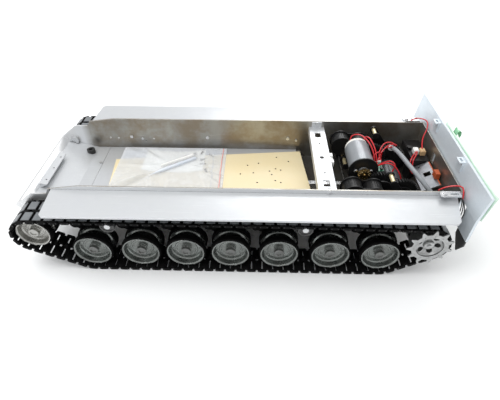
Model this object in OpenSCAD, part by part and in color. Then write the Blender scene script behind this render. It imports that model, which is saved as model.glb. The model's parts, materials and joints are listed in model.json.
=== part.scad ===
// Tracked chassis of a 1:16 scale main battle tank, open hull with its running gear and drive.
// Frame: +X forwards, +Y to the left, +Z up. Origin on the ground under the middle of the road wheels.
// Parts on the left side are drawn at their place, and the right side is their mirror image.

/* [Running gear] */
// Distance between the first and the last road wheel axle
wheelbase = 304.5; // [303:0.5:306]
// Road wheel radius over the tyre
wheel_r = 21.3; // [20.5:0.1:21.6]
// Road wheel radius over the metal rim
wheel_rim_r = 19.6; // [19:0.1:19.8]
// Width of a road wheel over both tyres
wheel_w = 24.1; // [22:0.1:24.5]
// Idler radius over the tyre
idler_r = 18.6; // [18:0.1:19]
// Return roller radius
roller_r = 7.5; // [6:0.5:8]
// Teeth on each sprocket ring
sprocket_teeth = 11; // [11:1:11]
// Angle that a swing arm hangs below the horizontal
arm_drop_angle = 33; // [30:1:36]
// Distance from a swing arm's pivot to its wheel axle
arm_len = 28.6; // [26:0.1:30]

/* [Track] */
// Length of one track link, pin pair to pin pair
link_pitch = 11.5; // [11.4:0.05:11.6]
// Width of the track over its end connectors
track_w = 32.9; // [32:0.1:33]
// Height of the track pins above the ground
pin_height = 1.7; // [1.6:0.1:1.8]
// Height of a guide horn above the pins
horn_h = 7; // [6:0.1:7]

/* [Hull] */
// Width of the hull inside its side plates
hull_in_w = 131.6; // [131:0.1:132]
// Sheet thickness of the hull
sheet = 1.5; // [1.2:0.1:1.6]
// Height of the underside of the belly
belly_z = 34; // [33.5:0.1:34]
// Height of the top edge of the side plates
wall_top = 88.9; // [88:0.1:90]
// Height of the top of the track guards
guard_top = 84.3; // [83:0.1:85]
// Width over both track guards
guard_w = 214.8; // [212:0.2:216]
// Height of the raised floor
floor_top = 46.3; // [46:0.1:47]

/* [Drive] */
// Gear module
gear_m = 1; // [1:0.05:1]
// Radius of the motor can
motor_r = 13.85; // [13:0.05:13.9]
// Length of the front motor, which drives the left track
motor_a_len = 46; // [44:0.5:46]
// Length of the rear motor, which drives the right track
motor_b_len = 40; // [38:0.5:41]

/* [Hidden] */
$fn = 48;
eps = 0.01;

// Clearances
run_gap = 0.3;
bearing_gap = 0.08;
seat_gap = 0.05;

// Lateral layout, from the centre plane outwards
wall_in = hull_in_w / 2;
wall_out = wall_in + sheet;
track_y = 85.95;
arm_y0 = wall_out + 0.7;
arm_y1 = track_y - wheel_w / 2 - 0.5;
guard_out = guard_w / 2;

// Running gear: gaps between neighbouring road wheels, front to rear, as shares of the wheelbase
WHEEL_GAPS = [0.1693, 0.1562, 0.1566, 0.1687, 0.1773, 0.1719];
function gap_sum(i) = i == 0 ? 0 : WHEEL_GAPS[i - 1] + gap_sum(i - 1);
function wheel_x(i) = wheelbase * (0.5 - gap_sum(i));
N_WHEELS = 7;
track_in_z = pin_height + 1.3;
wheel_z = track_in_z + run_gap + wheel_r;
pivot_dx = arm_len * cos(arm_drop_angle);
pivot_dz = arm_len * sin(arm_drop_angle);
pivot_z = wheel_z + pivot_dz;

// Idler, return rollers and sprocket, as [x, z]
IDLER = [207.6, 49.6];
IDLER_PIVOT = [219, 57];
ROLLER_X = [128.8, -70.9];
roller_z = IDLER[1] + idler_r - roller_r;
SPROCKET = [-195.5, 47];
sprocket_arc_r = sprocket_teeth * link_pitch / (2 * PI);

// Belt of the track pins: a ring of circles [x, z, radius] that it wraps, anticlockwise from the last wheel
pin_over = run_gap + 1.3;
BELT = [
    [wheel_x(6), wheel_z, wheel_r + pin_over],
    [wheel_x(0), wheel_z, wheel_r + pin_over],
    [IDLER[0], IDLER[1], idler_r + pin_over],
    [ROLLER_X[0], roller_z, roller_r + pin_over],
    [ROLLER_X[1], roller_z, roller_r + pin_over],
    [SPROCKET[0], SPROCKET[1], sprocket_arc_r],
];
NB = len(BELT);
function belt(i) = BELT[(i + NB) % NB];
function span(i) = [belt(i + 1)[0] - belt(i)[0], belt(i + 1)[1] - belt(i)[1]];
// Heading of the straight run that leaves circle i, and its length
function heading(i) = atan2(span(i)[1], span(i)[0]) + asin((belt(i)[2] - belt(i + 1)[2]) / norm(span(i)));
function run_len(i) = sqrt(pow(norm(span(i)), 2) - pow(belt(i)[2] - belt(i + 1)[2], 2));
function turn(i) = (heading(i) - heading(i - 1) + 720.001) % 360 - 0.001;
function arc_len(i) = belt(i)[2] * turn(i) * PI / 180;
// Length of the belt from the start of circle 0's arc to the start of circle i's arc
function belt_len(i) = i == 0 ? 0 : belt_len(i - 1) + arc_len(i - 1) + run_len(i - 1);
BELT_AT = [for (i = [0 : NB]) belt_len(i)];
ARC = [for (i = [0 : NB - 1]) arc_len(i)];
HEAD = [for (i = [0 : NB - 1]) heading(i)];
loop_len = BELT_AT[NB];
n_links = round(loop_len / link_pitch);
link_step = loop_len / n_links;

// Point [x, z, heading] at distance s along the belt
function on_arc(i, d) =
    let (a = HEAD[(i + NB - 1) % NB] + d / belt(i)[2] * 180 / PI)
    [belt(i)[0] + belt(i)[2] * sin(a), belt(i)[1] - belt(i)[2] * cos(a), a];
function on_run(i, d) =
    let (p = on_arc(i, ARC[i]))
    [p[0] + d * cos(HEAD[i]), p[1] + d * sin(HEAD[i]), HEAD[i]];
function which(s) = max([for (i = [0 : NB - 1]) BELT_AT[i] <= s ? i : 0]);
function at(s) =
    let (t = (s + 2 * loop_len) % loop_len, i = which(t), d = t - BELT_AT[i])
    d < ARC[i] ? on_arc(i, d) : on_run(i, d - ARC[i]);
link_phase = 3.4;
LINKS = [for (k = [0 : n_links - 1]) at(k * link_step + link_phase)];

// One track link: half the distance between its own two pins, and its radii
pin_half = 2.6;
tube_r = 1.3;
pin_r = 0.75;
connector_r = 1.6;
connector_w = 2.3;
centre_w = 3.2;
pad_out = track_w / 2 - connector_w - 0.25;
pad_in = centre_w / 2 + 0.25;

// Sprocket
tooth_tip_r = 23.1;
ring_r = 18.1;
ring_gap = 0.4;
ring_t = 1.6;
inner_ring_t = 1.2;
drum_r = 17.2;
// A tooth stands at the middle of the link that is nearest to the back of the sprocket
sprocket_mid = BELT_AT[5] + ARC[5] / 2;
sprocket_link = round((sprocket_mid - link_phase) / link_step);
tooth_phase = at(sprocket_link * link_step + link_phase)[2] - 90;

// Gear train, in the plane of the side plates: pinion, two double gears and the final gear
PINION_TEETH = 12;
BIG_TEETH = 38;
SMALL1_TEETH = 12;
SMALL2_TEETH = 16;
FINAL_TEETH = 20;
a1 = gear_m * (PINION_TEETH + BIG_TEETH) / 2;
a2 = gear_m * (SMALL1_TEETH + BIG_TEETH) / 2;
a3 = gear_m * (SMALL2_TEETH + FINAL_TEETH) / 2;
MOTOR_A = [-138, 79.5];
MOTOR_A_ANGLE = 222;
SHAFT_1 = MOTOR_A + a1 * [cos(MOTOR_A_ANGLE), sin(MOTOR_A_ANGLE)];
// The second shaft closes the triangle between the first shaft and the sprocket axle
base_23 = norm(SPROCKET - SHAFT_1);
base_angle = atan2(SPROCKET[1] - SHAFT_1[1], SPROCKET[0] - SHAFT_1[0]);
apex = acos((a2 * a2 + base_23 * base_23 - a3 * a3) / (2 * a2 * base_23));
SHAFT_2_ANGLE = base_angle - apex;
SHAFT_2 = SHAFT_1 + a2 * [cos(SHAFT_2_ANGLE), sin(SHAFT_2_ANGLE)];
FINAL_ANGLE = atan2(SPROCKET[1] - SHAFT_2[1], SPROCKET[0] - SHAFT_2[0]);
MOTOR_B_ANGLE = 212;
MOTOR_B = SHAFT_1 + a1 * [cos(MOTOR_B_ANGLE), sin(MOTOR_B_ANGLE)];
// Lateral places of the gearbox plates and of the three gear stages
PLATE_Y = [21, 37, 52.5];
plate_t = 1.5;
STAGE_1 = [25.5, 30];
STAGE_2 = [31, 35.6];
STAGE_3 = [40.5, 49];
shaft_r = 1.5;
final_shaft_r = 3;

// Hull
floor_x = [-72, 190];
glacis_x = 209;
nose_x = 235.2;
nose_z = 61.6;
rear_x = -228.3;

// ---------- Helpers ----------

// Extrudes an outline in the X-Z plane from y0 to y1
module across(y0, y1) {
    translate([0, y1, 0]) rotate([90, 0, 0]) linear_extrude(y1 - y0) children();
}

// A round bar along Y at p = [x, z], from y0 to y1
module bar(p, r, y0, y1) {
    translate([p[0], y0, p[1]]) rotate([-90, 0, 0]) cylinder(r = r, h = y1 - y0);
}

// A ring along Y
module ring(p, r_out, r_in, y0, y1) {
    difference() {
        bar(p, r_out, y0, y1);
        bar(p, r_in, y0 - 1, y1 + 1);
    }
}

// Turns an outline of [radius, y] points about the Y axis through p = [x, z]
module turned(p, y = 0) {
    translate([p[0], y, p[1]]) rotate([-90, 0, 0]) rotate_extrude($fn = 72) children();
}

// Both sides: the child as drawn, and mirrored to the right
module both_sides() {
    children();
    mirror([0, 1, 0]) children();
}

module on_side(side) {
    if (side == "left") children();
    else mirror([0, 1, 0]) children();
}

// ---------- Hull ----------

// Outline of a side plate, from the front of the belly anticlockwise
SIDE_OUTLINE = [
    [glacis_x, belly_z], [nose_x, nose_z], [214, 77.8], [197, 78.4], [193.5, 84.6],
    [162, wall_top], [rear_x, wall_top], [rear_x, 62], [-205, belly_z],
];

// Small fixing holes in each side plate, and the bolts that hold the upper hull's catches
WALL_HOLES = [[171.4, 60.9], [160.9, 60.1], [125.6, 56.4], [114.6, 59.5]];
WALL_BOLTS = [[143, 63.2], [44, 63.2], [-60, 63.2]];

// A stretch of the front or belly sheet between the side plates, from [x, z] points
module sheet_run(points) {
    across(-wall_in, wall_in) polygon(points);
}

seam = 0.02;
module hull_tub() {
    // Belly, lower front plate, and the two rear plates, which butt against each other
    color("lightgray") {
        sheet_run([
            [-205, belly_z], [glacis_x, belly_z],
            [glacis_x - 1.2, belly_z + sheet], [-204.4, belly_z + sheet],
        ]);
        sheet_run([
            [glacis_x + seam, belly_z], [nose_x, nose_z],
            [nose_x - 1.4 * sheet, nose_z], [glacis_x - 1.2 + seam, belly_z + sheet],
        ]);
        sheet_run([
            [-205 - seam, belly_z], [-204.4 - seam, belly_z + sheet],
            [rear_x + sheet, 62.4 - seam], [rear_x, 62 - seam],
        ]);
        difference() {
            sheet_run([
                [rear_x + sheet, 62.4], [rear_x + sheet, wall_top - 0.4],
                [rear_x, wall_top - 0.4], [rear_x, 62],
            ]);
            // Slot for the charging lead
            translate([rear_x - 1, -16, 68]) cube([4, 7, 12]);
        }
    }
    color("lightgray") difference() {
        union() {
            both_sides() across(wall_in + seam, wall_out) polygon(SIDE_OUTLINE);
            // Bearing bosses of the swing arms, and of the final drive
            both_sides() for (i = [0 : N_WHEELS - 1])
                bar([wheel_x(i) + pivot_dx, pivot_z], 4.6, 61.5, wall_in + 2 * seam);
            both_sides() bar(SPROCKET, 7, 60, wall_in + 2 * seam);
            both_sides() bar(SPROCKET, 8.5, wall_in - 2, wall_in + 2 * seam);
        }
        both_sides() for (i = [0 : N_WHEELS - 1])
            bar([wheel_x(i) + pivot_dx, pivot_z], 3 + bearing_gap, 55, wall_out + 1);
        both_sides() bar(SPROCKET, final_shaft_r + bearing_gap, 55, wall_out + 1);
        both_sides() bar(IDLER_PIVOT, 3.2 + seat_gap, wall_in - 1, wall_out + 1);
        both_sides() for (x = ROLLER_X) bar([x, roller_z], 1.5 + seat_gap, wall_in - 1, wall_out + 1);
        // Fixing holes along the side plates
        both_sides() for (p = WALL_HOLES) bar(p, 1, wall_in - 1, wall_out + 1);
        both_sides() for (p = WALL_BOLTS) bar(p, 1.1, wall_in - 1, wall_out + 1);
        both_sides() bar([-95, 86.6], 1.1, wall_in - 1, wall_out + 1);
    }
}

// The raised floor over the torsion bars: a flange at the rear, and a ramp up to the nose at the front
ramp_end = [226, 56.25];
GROMMET = [195.4, -51.6];
floor_seam = 174;
module floor_plate() {
    half = wall_in - 0.2;
    flange = floor_top - belly_z - sheet - 0.1;
    // Rear sheet, with its flange
    color("whitesmoke") union() {
        translate([floor_x[0], -half, floor_top - sheet]) cube([floor_seam - floor_x[0], 2 * half, sheet]);
        for (y = [-60, 4])
            translate([floor_x[0], y, floor_top - flange]) cube([sheet, 56, flange - 0.2]);
    }
    // Front sheet: bent up to the nose, and cut out round the idler shafts
    color("whitesmoke") difference() {
        union() {
            translate([floor_seam + 0.4, -half, floor_top - sheet])
                cube([floor_x[1] - floor_seam - 0.4, 2 * half, sheet]);
            across(-half, half) polygon([
                [floor_x[1] - eps, floor_top], [floor_x[1] - eps, floor_top - sheet],
                ramp_end - [0, sheet], ramp_end,
            ]);
        }
        translate([GROMMET[0], GROMMET[1], floor_top - 5]) cylinder(r = 5.1, h = 12);
        for (y = [-29, 29]) translate([176.8, y, floor_top - 3]) cylinder(r = 1.1, h = 5);
        both_sides() bar(IDLER_PIVOT, 6.2, wall_in - 4.3, wall_in + 1);
    }
}

// Outline of a track guard seen from above, for the left side
GUARD_OUTLINE = [
    [190, wall_out + 0.1], [187, guard_out - 3], [184, guard_out],
    [-211, guard_out], [-214, guard_out - 3], [-223, wall_out + 0.1],
];

module track_guards() {
    color("whitesmoke") both_sides() {
        translate([0, 0, guard_top - sheet]) linear_extrude(sheet) polygon(GUARD_OUTLINE);
        // Turned-down edge, and the flange that is riveted to the side plate
        translate([-211, guard_out - 1.2, guard_top - 2.2]) cube([395, 1.2, 2.2 - eps]);
        translate([-220, wall_out + 0.1, guard_top - 6.5]) cube([405, 1.2, 6.5 - eps]);
    }
}

// ---------- Ends and cross pieces ----------

rear_top_z = 110.4;
rear_bend_z = 81;
REAR_SECTION = [
    [rear_x - 0.4, 60], [rear_x - 0.4, rear_bend_z], [rear_x - 4.4, rear_top_z],
    [rear_x - 6.9, rear_top_z], [rear_x - 2.9, rear_bend_z], [rear_x - 1.9, 60],
];

// The leaning rear plate, its two hook tabs, and the mud flaps behind the sprockets
module rear_plate() {
    half = 102;
    color("silver") difference() {
        union() {
            across(-half, half) polygon([for (i = [1 : 4]) REAR_SECTION[i]]);
            across(-wall_out, wall_out) polygon([
                [rear_x - 0.4, 60], [rear_x - 0.4, rear_bend_z + eps],
                [rear_x - 1.9, rear_bend_z + eps], [rear_x - 1.9, 60],
            ]);
            // The stay at each end that carries the flap
            both_sides() translate([rear_x - 2.9, 80, 54]) cube([2.5, half - 80, rear_bend_z - 54 + eps]);
            // Hook tabs for the upper hull
            for (y = [-38, 38]) {
                translate([rear_x - 4.5, y - 5, rear_top_z - 4]) cube([6.5, 10, 1.4]);
                translate([rear_x - 4, y - 5, rear_top_z - 15]) cube([1.4 + 1.6, 10, 11.2]);
            }
        }
        for (y = [-38, 38]) translate([rear_x - 2.4, y - 3, rear_top_z - 5]) cube([2.4, 6, 4]);
    }
    color("dimgray") both_sides() across_x(rear_x - 2.4, rear_x - 0.9)
        polygon([[81, 53.9], [101, 53.9], [101, 46], [93, 32], [81, 46]]);
}

// Extrudes an outline in the Y-Z plane from x0 to x1
module across_x(x0, x1) {
    translate([x0, 0, 0]) rotate([90, 0, 90]) linear_extrude(x1 - x0) children();
}

member_x = [-104.5, -85.5];
member_z = 81;
module cross_member() {
    half = wall_in - 0.3;
    w = member_x[1] - member_x[0];
    color("whitesmoke") difference() {
        union() {
            translate([member_x[0], -half, member_z - 1.4]) cube([w, 2 * half, 1.4]);
            for (x = [member_x[0], member_x[1] - 1.2])
                translate([x, -half, member_z - 9]) cube([1.2, 2 * half, 8]);
            // End tabs that are screwed to the side plates
            both_sides() translate([-101, half - 1.4, member_z - 0.2]) cube([12, 1.4, 7.6]);
        }
        for (y = [-46.7, 46.7]) translate([-95 - 3.5, y - 5, member_z - 3]) cube([7, 10, 5]);
        for (y = [-28.5, 28.5]) translate([-95, y, member_z - 3]) cylinder(r = 1.1, h = 5);
        translate([-95, 0, member_z - 3]) cylinder(r = 2.5, h = 5);
        both_sides() bar([-95, 86.6], 1.1, half - 3, half + 1);
    }
    // Latch for the upper hull
    color("ivory") difference() {
        translate([member_x[0] - 3.2, -9, member_z - 6]) cube([3, 18, 6]);
        translate([member_x[0] - 4, -3, member_z - 2]) cube([5, 6, 3]);
    }
}

// A stiffener across the nose: it stands on the ramp on its front web, with a gusset at each end
ramp_slope = atan((ramp_end[1] - floor_top) / (ramp_end[0] - floor_x[1]));
module front_bracket() {
    half = 30;
    high = 6.5;
    deep = 8;
    color("whitesmoke") translate([ramp_end[0], 1.5, ramp_end[1] + 0.15]) rotate([0, -ramp_slope, 0])
        difference() {
            union() {
                translate([-deep, -half, high - 1.2]) cube([deep, 2 * half, 1.2]);
                translate([-1.2, -half, 0]) cube([1.2, 2 * half, high]);
                for (y = [-half, half - 1.2]) translate([0, y, 0])
                    across(0, 1.2) polygon([[-deep, high - 0.6], [-0.6, high - 0.6], [-0.6, 0], [-1.8, 0]]);
            }
            for (y = [-22, 0, 22]) translate([-4.6, y, 3]) cylinder(r = 1, h = 6);
        }
}

// ---------- Load in the hull ----------

plate_tilt = 5.6;
plate_centre = [36.5, -0.6];
plate_size = [236, 94];
// Drilled holes of the equipment plate, counted from its centre
PLATE_HOLES = [
    [-48, -22], [-62, -25], [-86, -36], [-100, -26], [-82, -12], [-88, -9], [-74, -8],
    [-76, -1], [-79, 11], [-85, 15], [-54, -6], [-38, -5], [-57, 13],
];
module equipment_plate() {
    color("wheat") translate([plate_centre[0], plate_centre[1], floor_top + 0.1]) rotate([0, 0, plate_tilt])
        difference() {
            translate([-plate_size[0] / 2, -plate_size[1] / 2, 0])
                cube([plate_size[0], plate_size[1], 1.6]);
            for (p = PLATE_HOLES) translate([p[0], p[1], -1]) cylinder(r = 1, h = 4);
        }
}

// A zip bag of spare parts that lies on the front of the equipment plate
bag_centre = [86, -1];
bag_size = [134, 122];
bag_h = 5;
module spares_bag() {
    color("aliceblue", 0.6) translate([bag_centre[0], bag_centre[1], floor_top + 1.9]) {
        translate([-bag_size[0] / 2 + 6, -bag_size[1] / 2 + 6, 0])
            cube([bag_size[0] - 12, bag_size[1] - 12, bag_h]);
        translate([-bag_size[0] / 2, -bag_size[1] / 2, 1]) cube([bag_size[0], bag_size[1], 1.5]);
    }
}

// ---------- Track ----------

// A connector between two pins at distance d, with a bore for the second pin
module connector(d, y0, y1) {
    difference() {
        union() {
            bar([0, 0], connector_r, y0, y1);
            bar([d, 0], connector_r, y0, y1);
            translate([0, y0, -1.4]) cube([d, y1 - y0, 2.8]);
        }
        bar([d, 0], pin_r + 0.1, y0 - 1, y1 + 1);
    }
}

// Outline of a rubber pad's link body, seen from the side: outwards is down
PAD_OUTLINE = [[-4.6, 1], [-4.6, -0.9], [-4, -pin_height], [4, -pin_height], [4.6, -0.9], [4.6, 1]];

// One link at the origin, its next pin pair at distance d along heading h from its own front pin
module link(d, h) {
    both_sides() {
        across(pad_in, pad_out) polygon(PAD_OUTLINE);
        for (u = [-pin_half, pin_half]) bar([u, 0], tube_r, pad_in, pad_out);
    }
    for (u = [-pin_half, pin_half]) bar([u, 0], pin_r, -track_w / 2, track_w / 2);
    translate([pin_half, 0, 0]) rotate([0, -h, 0]) {
        both_sides() connector(d, track_w / 2 - connector_w, track_w / 2);
        connector(d, -centre_w / 2, centre_w / 2);
        across(-1.5, 1.5) polygon([[0.6, 1.2], [d - 0.8, 1.2], [d / 2 + 1, horn_h], [d / 2 - 1, horn_h]]);
    }
}

function front_pin(k) = [LINKS[k][0], LINKS[k][1]] + pin_half * [cos(LINKS[k][2]), sin(LINKS[k][2])];
function back_pin(k) = [LINKS[k][0], LINKS[k][1]] - pin_half * [cos(LINKS[k][2]), sin(LINKS[k][2])];

// The belt runs anticlockwise seen with +X to the right, so a link's inner side faces the loop
module track() {
    for (k = [0 : n_links - 1]) {
        step = back_pin((k + 1) % n_links) - front_pin(k);
        translate([LINKS[k][0], track_y, LINKS[k][1]]) rotate([0, -LINKS[k][2], 0])
            link(norm(step), atan2(step[1], step[0]) - LINKS[k][2]);
    }
}

module track_left() {
    color([0.1, 0.1, 0.1]) track();
}

module track_right() {
    color([0.1, 0.1, 0.1]) mirror([0, 1, 0]) track();
}

// ---------- Wheels ----------

// Half of a dished double wheel, as [radius, distance from the mid-plane]. The disc stands deep in the barrel
function dish(rim, half_w, web_r, web_v, hub_r, hub_v) = [
    [2.5 + bearing_gap, 0.02], [hub_r, 0.02], [hub_r, web_v - 1.6], [web_r, web_v - 1.6], [rim - 2.2, 4.55],
    [rim - 0.3, 4.55], [rim - 0.3, half_w - 0.9], [rim, half_w - 0.9], [rim, half_w], [rim - 1.1, half_w],
    [rim - 1.9, half_w - 0.8], [web_r + 0.5, web_v + 0.9], [web_r - 0.4, web_v], [web_r - 3.6, web_v],
    [web_r - 4.1, web_v + 0.6], [web_r - 5.6, web_v + 0.6], [web_r - 6.1, web_v], [hub_r - 1, web_v],
    [hub_r - 1, hub_v], [2.5 + bearing_gap, hub_v],
];

// A double wheel on its axle: two metal halves, two tyres and the hub cap, with its outer side to the left
module double_wheel(p, r, rim) {
    half_w = wheel_w / 2;
    web_r = rim - 3.6;
    web_v = 5.2;
    color("gainsboro") union() {
        turned(p, track_y) polygon(dish(rim, half_w, web_r, web_v, 6.4, 7));
        for (a = [0 : 36 : 324])
            bar(p + (web_r - 2) * [cos(a), sin(a)], 0.7, track_y + 4.8, track_y + 5.7);
    }
    color("gainsboro") mirror_at(track_y) turned(p, track_y)
        polygon(dish(rim, half_w, web_r, web_v, 6.4, 6.4));
    for (v = [[4.55, half_w - 1], [-half_w + 1, -4.55]])
        color([0.07, 0.07, 0.07]) turned(p, track_y) polygon([
            [rim - 0.3 + 0.02, v[0]], [r - 0.5, v[0]], [r, v[0] + 0.6],
            [r, v[1] - 0.6], [r - 0.5, v[1]], [rim - 0.3 + 0.02, v[1]],
        ]);
    color("dimgray") turned(p, track_y) polygon([
        [3.7, 7.05], [5.2, 7.05], [5.2, 10.4], [4.8, 10.9],
        [3.2, 10.9], [3.2, 10], [0, 10], [0, 8.9], [3.7, 8.9],
    ]);
}

// Mirrors about the plane y = y0
module mirror_at(y0) {
    translate([0, y0, 0]) mirror([0, 1, 0]) translate([0, -y0, 0]) children();
}

// The fixed axle that a wheel turns on, with its retaining head, from y0 outwards
module axle(p, y0) {
    bar(p, 2.5, y0, track_y + 7.1);
    bar(p, 3.2, track_y + 7.1, track_y + 8.2);
}

module road_wheel(i, side) {
    on_side(side) double_wheel([wheel_x(i - 1), wheel_z], wheel_r, wheel_rim_r);
}

module idler(side) {
    on_side(side) double_wheel(IDLER, idler_r, idler_r - 1.6);
}

// A swing arm: pivot shaft into the hull, arm, and wheel axle
module swing_arm(i, side) {
    axle_p = [wheel_x(i - 1), wheel_z];
    pivot_p = axle_p + [pivot_dx, pivot_dz];
    n = [-sin(arm_drop_angle), cos(arm_drop_angle)];
    color([0.25, 0.25, 0.27]) on_side(side) {
        difference() {
            union() {
                bar(pivot_p, 5.2, arm_y0, arm_y1);
                bar(axle_p, 4.6, arm_y0, arm_y1);
                across(arm_y0 + 0.6, arm_y1 - 0.6)
                    polygon([pivot_p + 4 * n, pivot_p - 4 * n, axle_p - 3.4 * n, axle_p + 3.4 * n]);
                bar(pivot_p, 3, 60.5, arm_y0 + 1);
            }
            bar(pivot_p, 1 + bearing_gap, 59, 66.5);
        }
        axle(axle_p, arm_y1 - 1);
    }
}

roller_axle_r = 1.6;
roller_v = [2.45, 11.05];
module return_roller(k, side) {
    p = [ROLLER_X[k], roller_z];
    color("gray") on_side(side) turned(p, track_y) polygon([
        [roller_axle_r + bearing_gap, roller_v[0]], [roller_r, roller_v[0]],
        [roller_r, roller_v[1]], [roller_r - 1.2, roller_v[1]],
        [roller_r - 1.8, roller_v[1] - 1.2], [3.4, roller_v[1] - 1.2],
        [roller_axle_r + bearing_gap, roller_v[1] - 1.2],
    ]);
}

// Axles that don't turn: idler cranks with their adjusters, and return roller stubs
module fixed_axles() {
    crank_y = [wall_out + 0.2, 72];
    dir = (IDLER - IDLER_PIVOT) / norm(IDLER - IDLER_PIVOT);
    n = [-dir[1], dir[0]];
    color("darkgray") both_sides() {
        union() {
            bar(IDLER_PIVOT, 4.4, crank_y[0], crank_y[1]);
            bar(IDLER, 5, crank_y[0], crank_y[1]);
            across(crank_y[0], crank_y[1])
                polygon([IDLER_PIVOT + 4 * n, IDLER_PIVOT - 4 * n, IDLER - 4.4 * n, IDLER + 4.4 * n]);
            bar(IDLER_PIVOT, 3.2, wall_in - 3, crank_y[1]);
            axle(IDLER, crank_y[1] - 1);
        }
        ring(IDLER_PIVOT, 5.5, 3.2 + seat_gap, wall_in - 3.5, wall_in - 0.1);
        for (x = ROLLER_X) union() {
            bar([x, roller_z], 1.5, wall_in - 1.5, wall_out + 1);
            bar([x, roller_z], 4.5, wall_out + 0.1, wall_out + 1.6);
            bar([x, roller_z], roller_axle_r, wall_out + 1, track_y + roller_v[1] - 0.9);
            bar([x, roller_z], 3, track_y + roller_v[1] - 1, track_y + roller_v[1] + 0.2);
        }
    }
}

module torsion_bars() {
    color("steelblue") both_sides() for (i = [0 : N_WHEELS - 1])
        bar([wheel_x(i) + pivot_dx, pivot_z], 1, 0.2, 65.5);
    // Anchor rail along the centre of the belly
    color("gray") difference() {
        translate([wheel_x(6) + pivot_dx - 6, -3, belly_z + sheet + 0.1])
            cube([wheel_x(0) - wheel_x(6) + 12, 6, 8.6]);
        for (i = [0 : N_WHEELS - 1]) bar([wheel_x(i) + pivot_dx, pivot_z], 1 + seat_gap, -4, 4);
    }
}

// ---------- Drive ----------

// Involute gear outline with some backlash. Its first tooth points along the angle phase
gear_pressure = 25;
gear_backlash = 0.3;
function inv(a) = tan(a) * 180 / PI - a;
function gear_half(z, r) =
    let (rp = gear_m * z / 2, rb = rp * cos(gear_pressure), a = r > rb ? acos(rb / r) : 0)
    90 / z + inv(gear_pressure) - inv(a) - gear_backlash / (2 * rp) * 180 / PI;
module gear_outline(z, phase) {
    rp = gear_m * z / 2;
    root = rp - 1.15 * gear_m;
    tip = rp + 0.85 * gear_m;
    RADII = [root, rp, tip];
    polygon([for (k = [0 : z - 1], side = [-1, 1], j = [0 : 2])
        let (r = side < 0 ? RADII[j] : RADII[2 - j], a = phase + k * 360 / z + side * gear_half(z, r))
        r * [cos(a), sin(a)]]);
}

module gear(p, z, phase, y) {
    across(y[0], y[1]) translate(p) gear_outline(z, phase);
}

function facing(angle, z) = angle + 180 + 180 / z;

// Motor shaft with its pinion. The motor stands at p, and the first shaft lies at angle a from it
module motor_pinion(p, a, side) {
    color("goldenrod") on_side(side) {
        gear(p, PINION_TEETH, a, STAGE_1);
        bar(p, 3.4, STAGE_1[0] - 1.5, STAGE_1[0] + eps);
        bar(p, 1.15, PLATE_Y[0] - 6, STAGE_1[1] + 0.8);
    }
}

module first_gear(a, side) {
    color([0.1, 0.1, 0.1]) on_side(side) {
        gear(SHAFT_1, BIG_TEETH, facing(a, BIG_TEETH), STAGE_1);
        bar(SHAFT_1, 5, STAGE_1[1] - eps, STAGE_2[0] + eps);
        gear(SHAFT_1, SMALL1_TEETH, SHAFT_2_ANGLE, STAGE_2);
        bar(SHAFT_1, shaft_r, PLATE_Y[0], PLATE_Y[1] + plate_t);
    }
}

module second_gear(side) {
    color([0.1, 0.1, 0.1]) on_side(side) {
        gear(SHAFT_2, BIG_TEETH, facing(SHAFT_2_ANGLE, BIG_TEETH), [STAGE_2[0] + 0.3, STAGE_2[1] - 0.3]);
        bar(SHAFT_2, shaft_r, PLATE_Y[0], PLATE_Y[2] + plate_t);
        gear(SHAFT_2, SMALL2_TEETH, FINAL_ANGLE, STAGE_3);
    }
}

// A gearbox plate: discs round the shafts, webs between them, and a bore for each shaft
module gearbox_plate(y, discs, chain, bores) {
    difference() {
        union() {
            for (d = discs) bar([d[0], d[1]], d[2], y, y + plate_t);
            for (c = chain) across(y, y + plate_t)
                let (p = c[0], q = c[1], n = [p[1] - q[1], q[0] - p[0]] / norm(q - p))
                polygon([p + c[2] * n, p - c[2] * n, q - c[3] * n, q + c[3] * n]);
        }
        for (b = bores) bar([b[0], b[1]], b[2] + bearing_gap, y - 1, y + plate_t + 1);
    }
}

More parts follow.
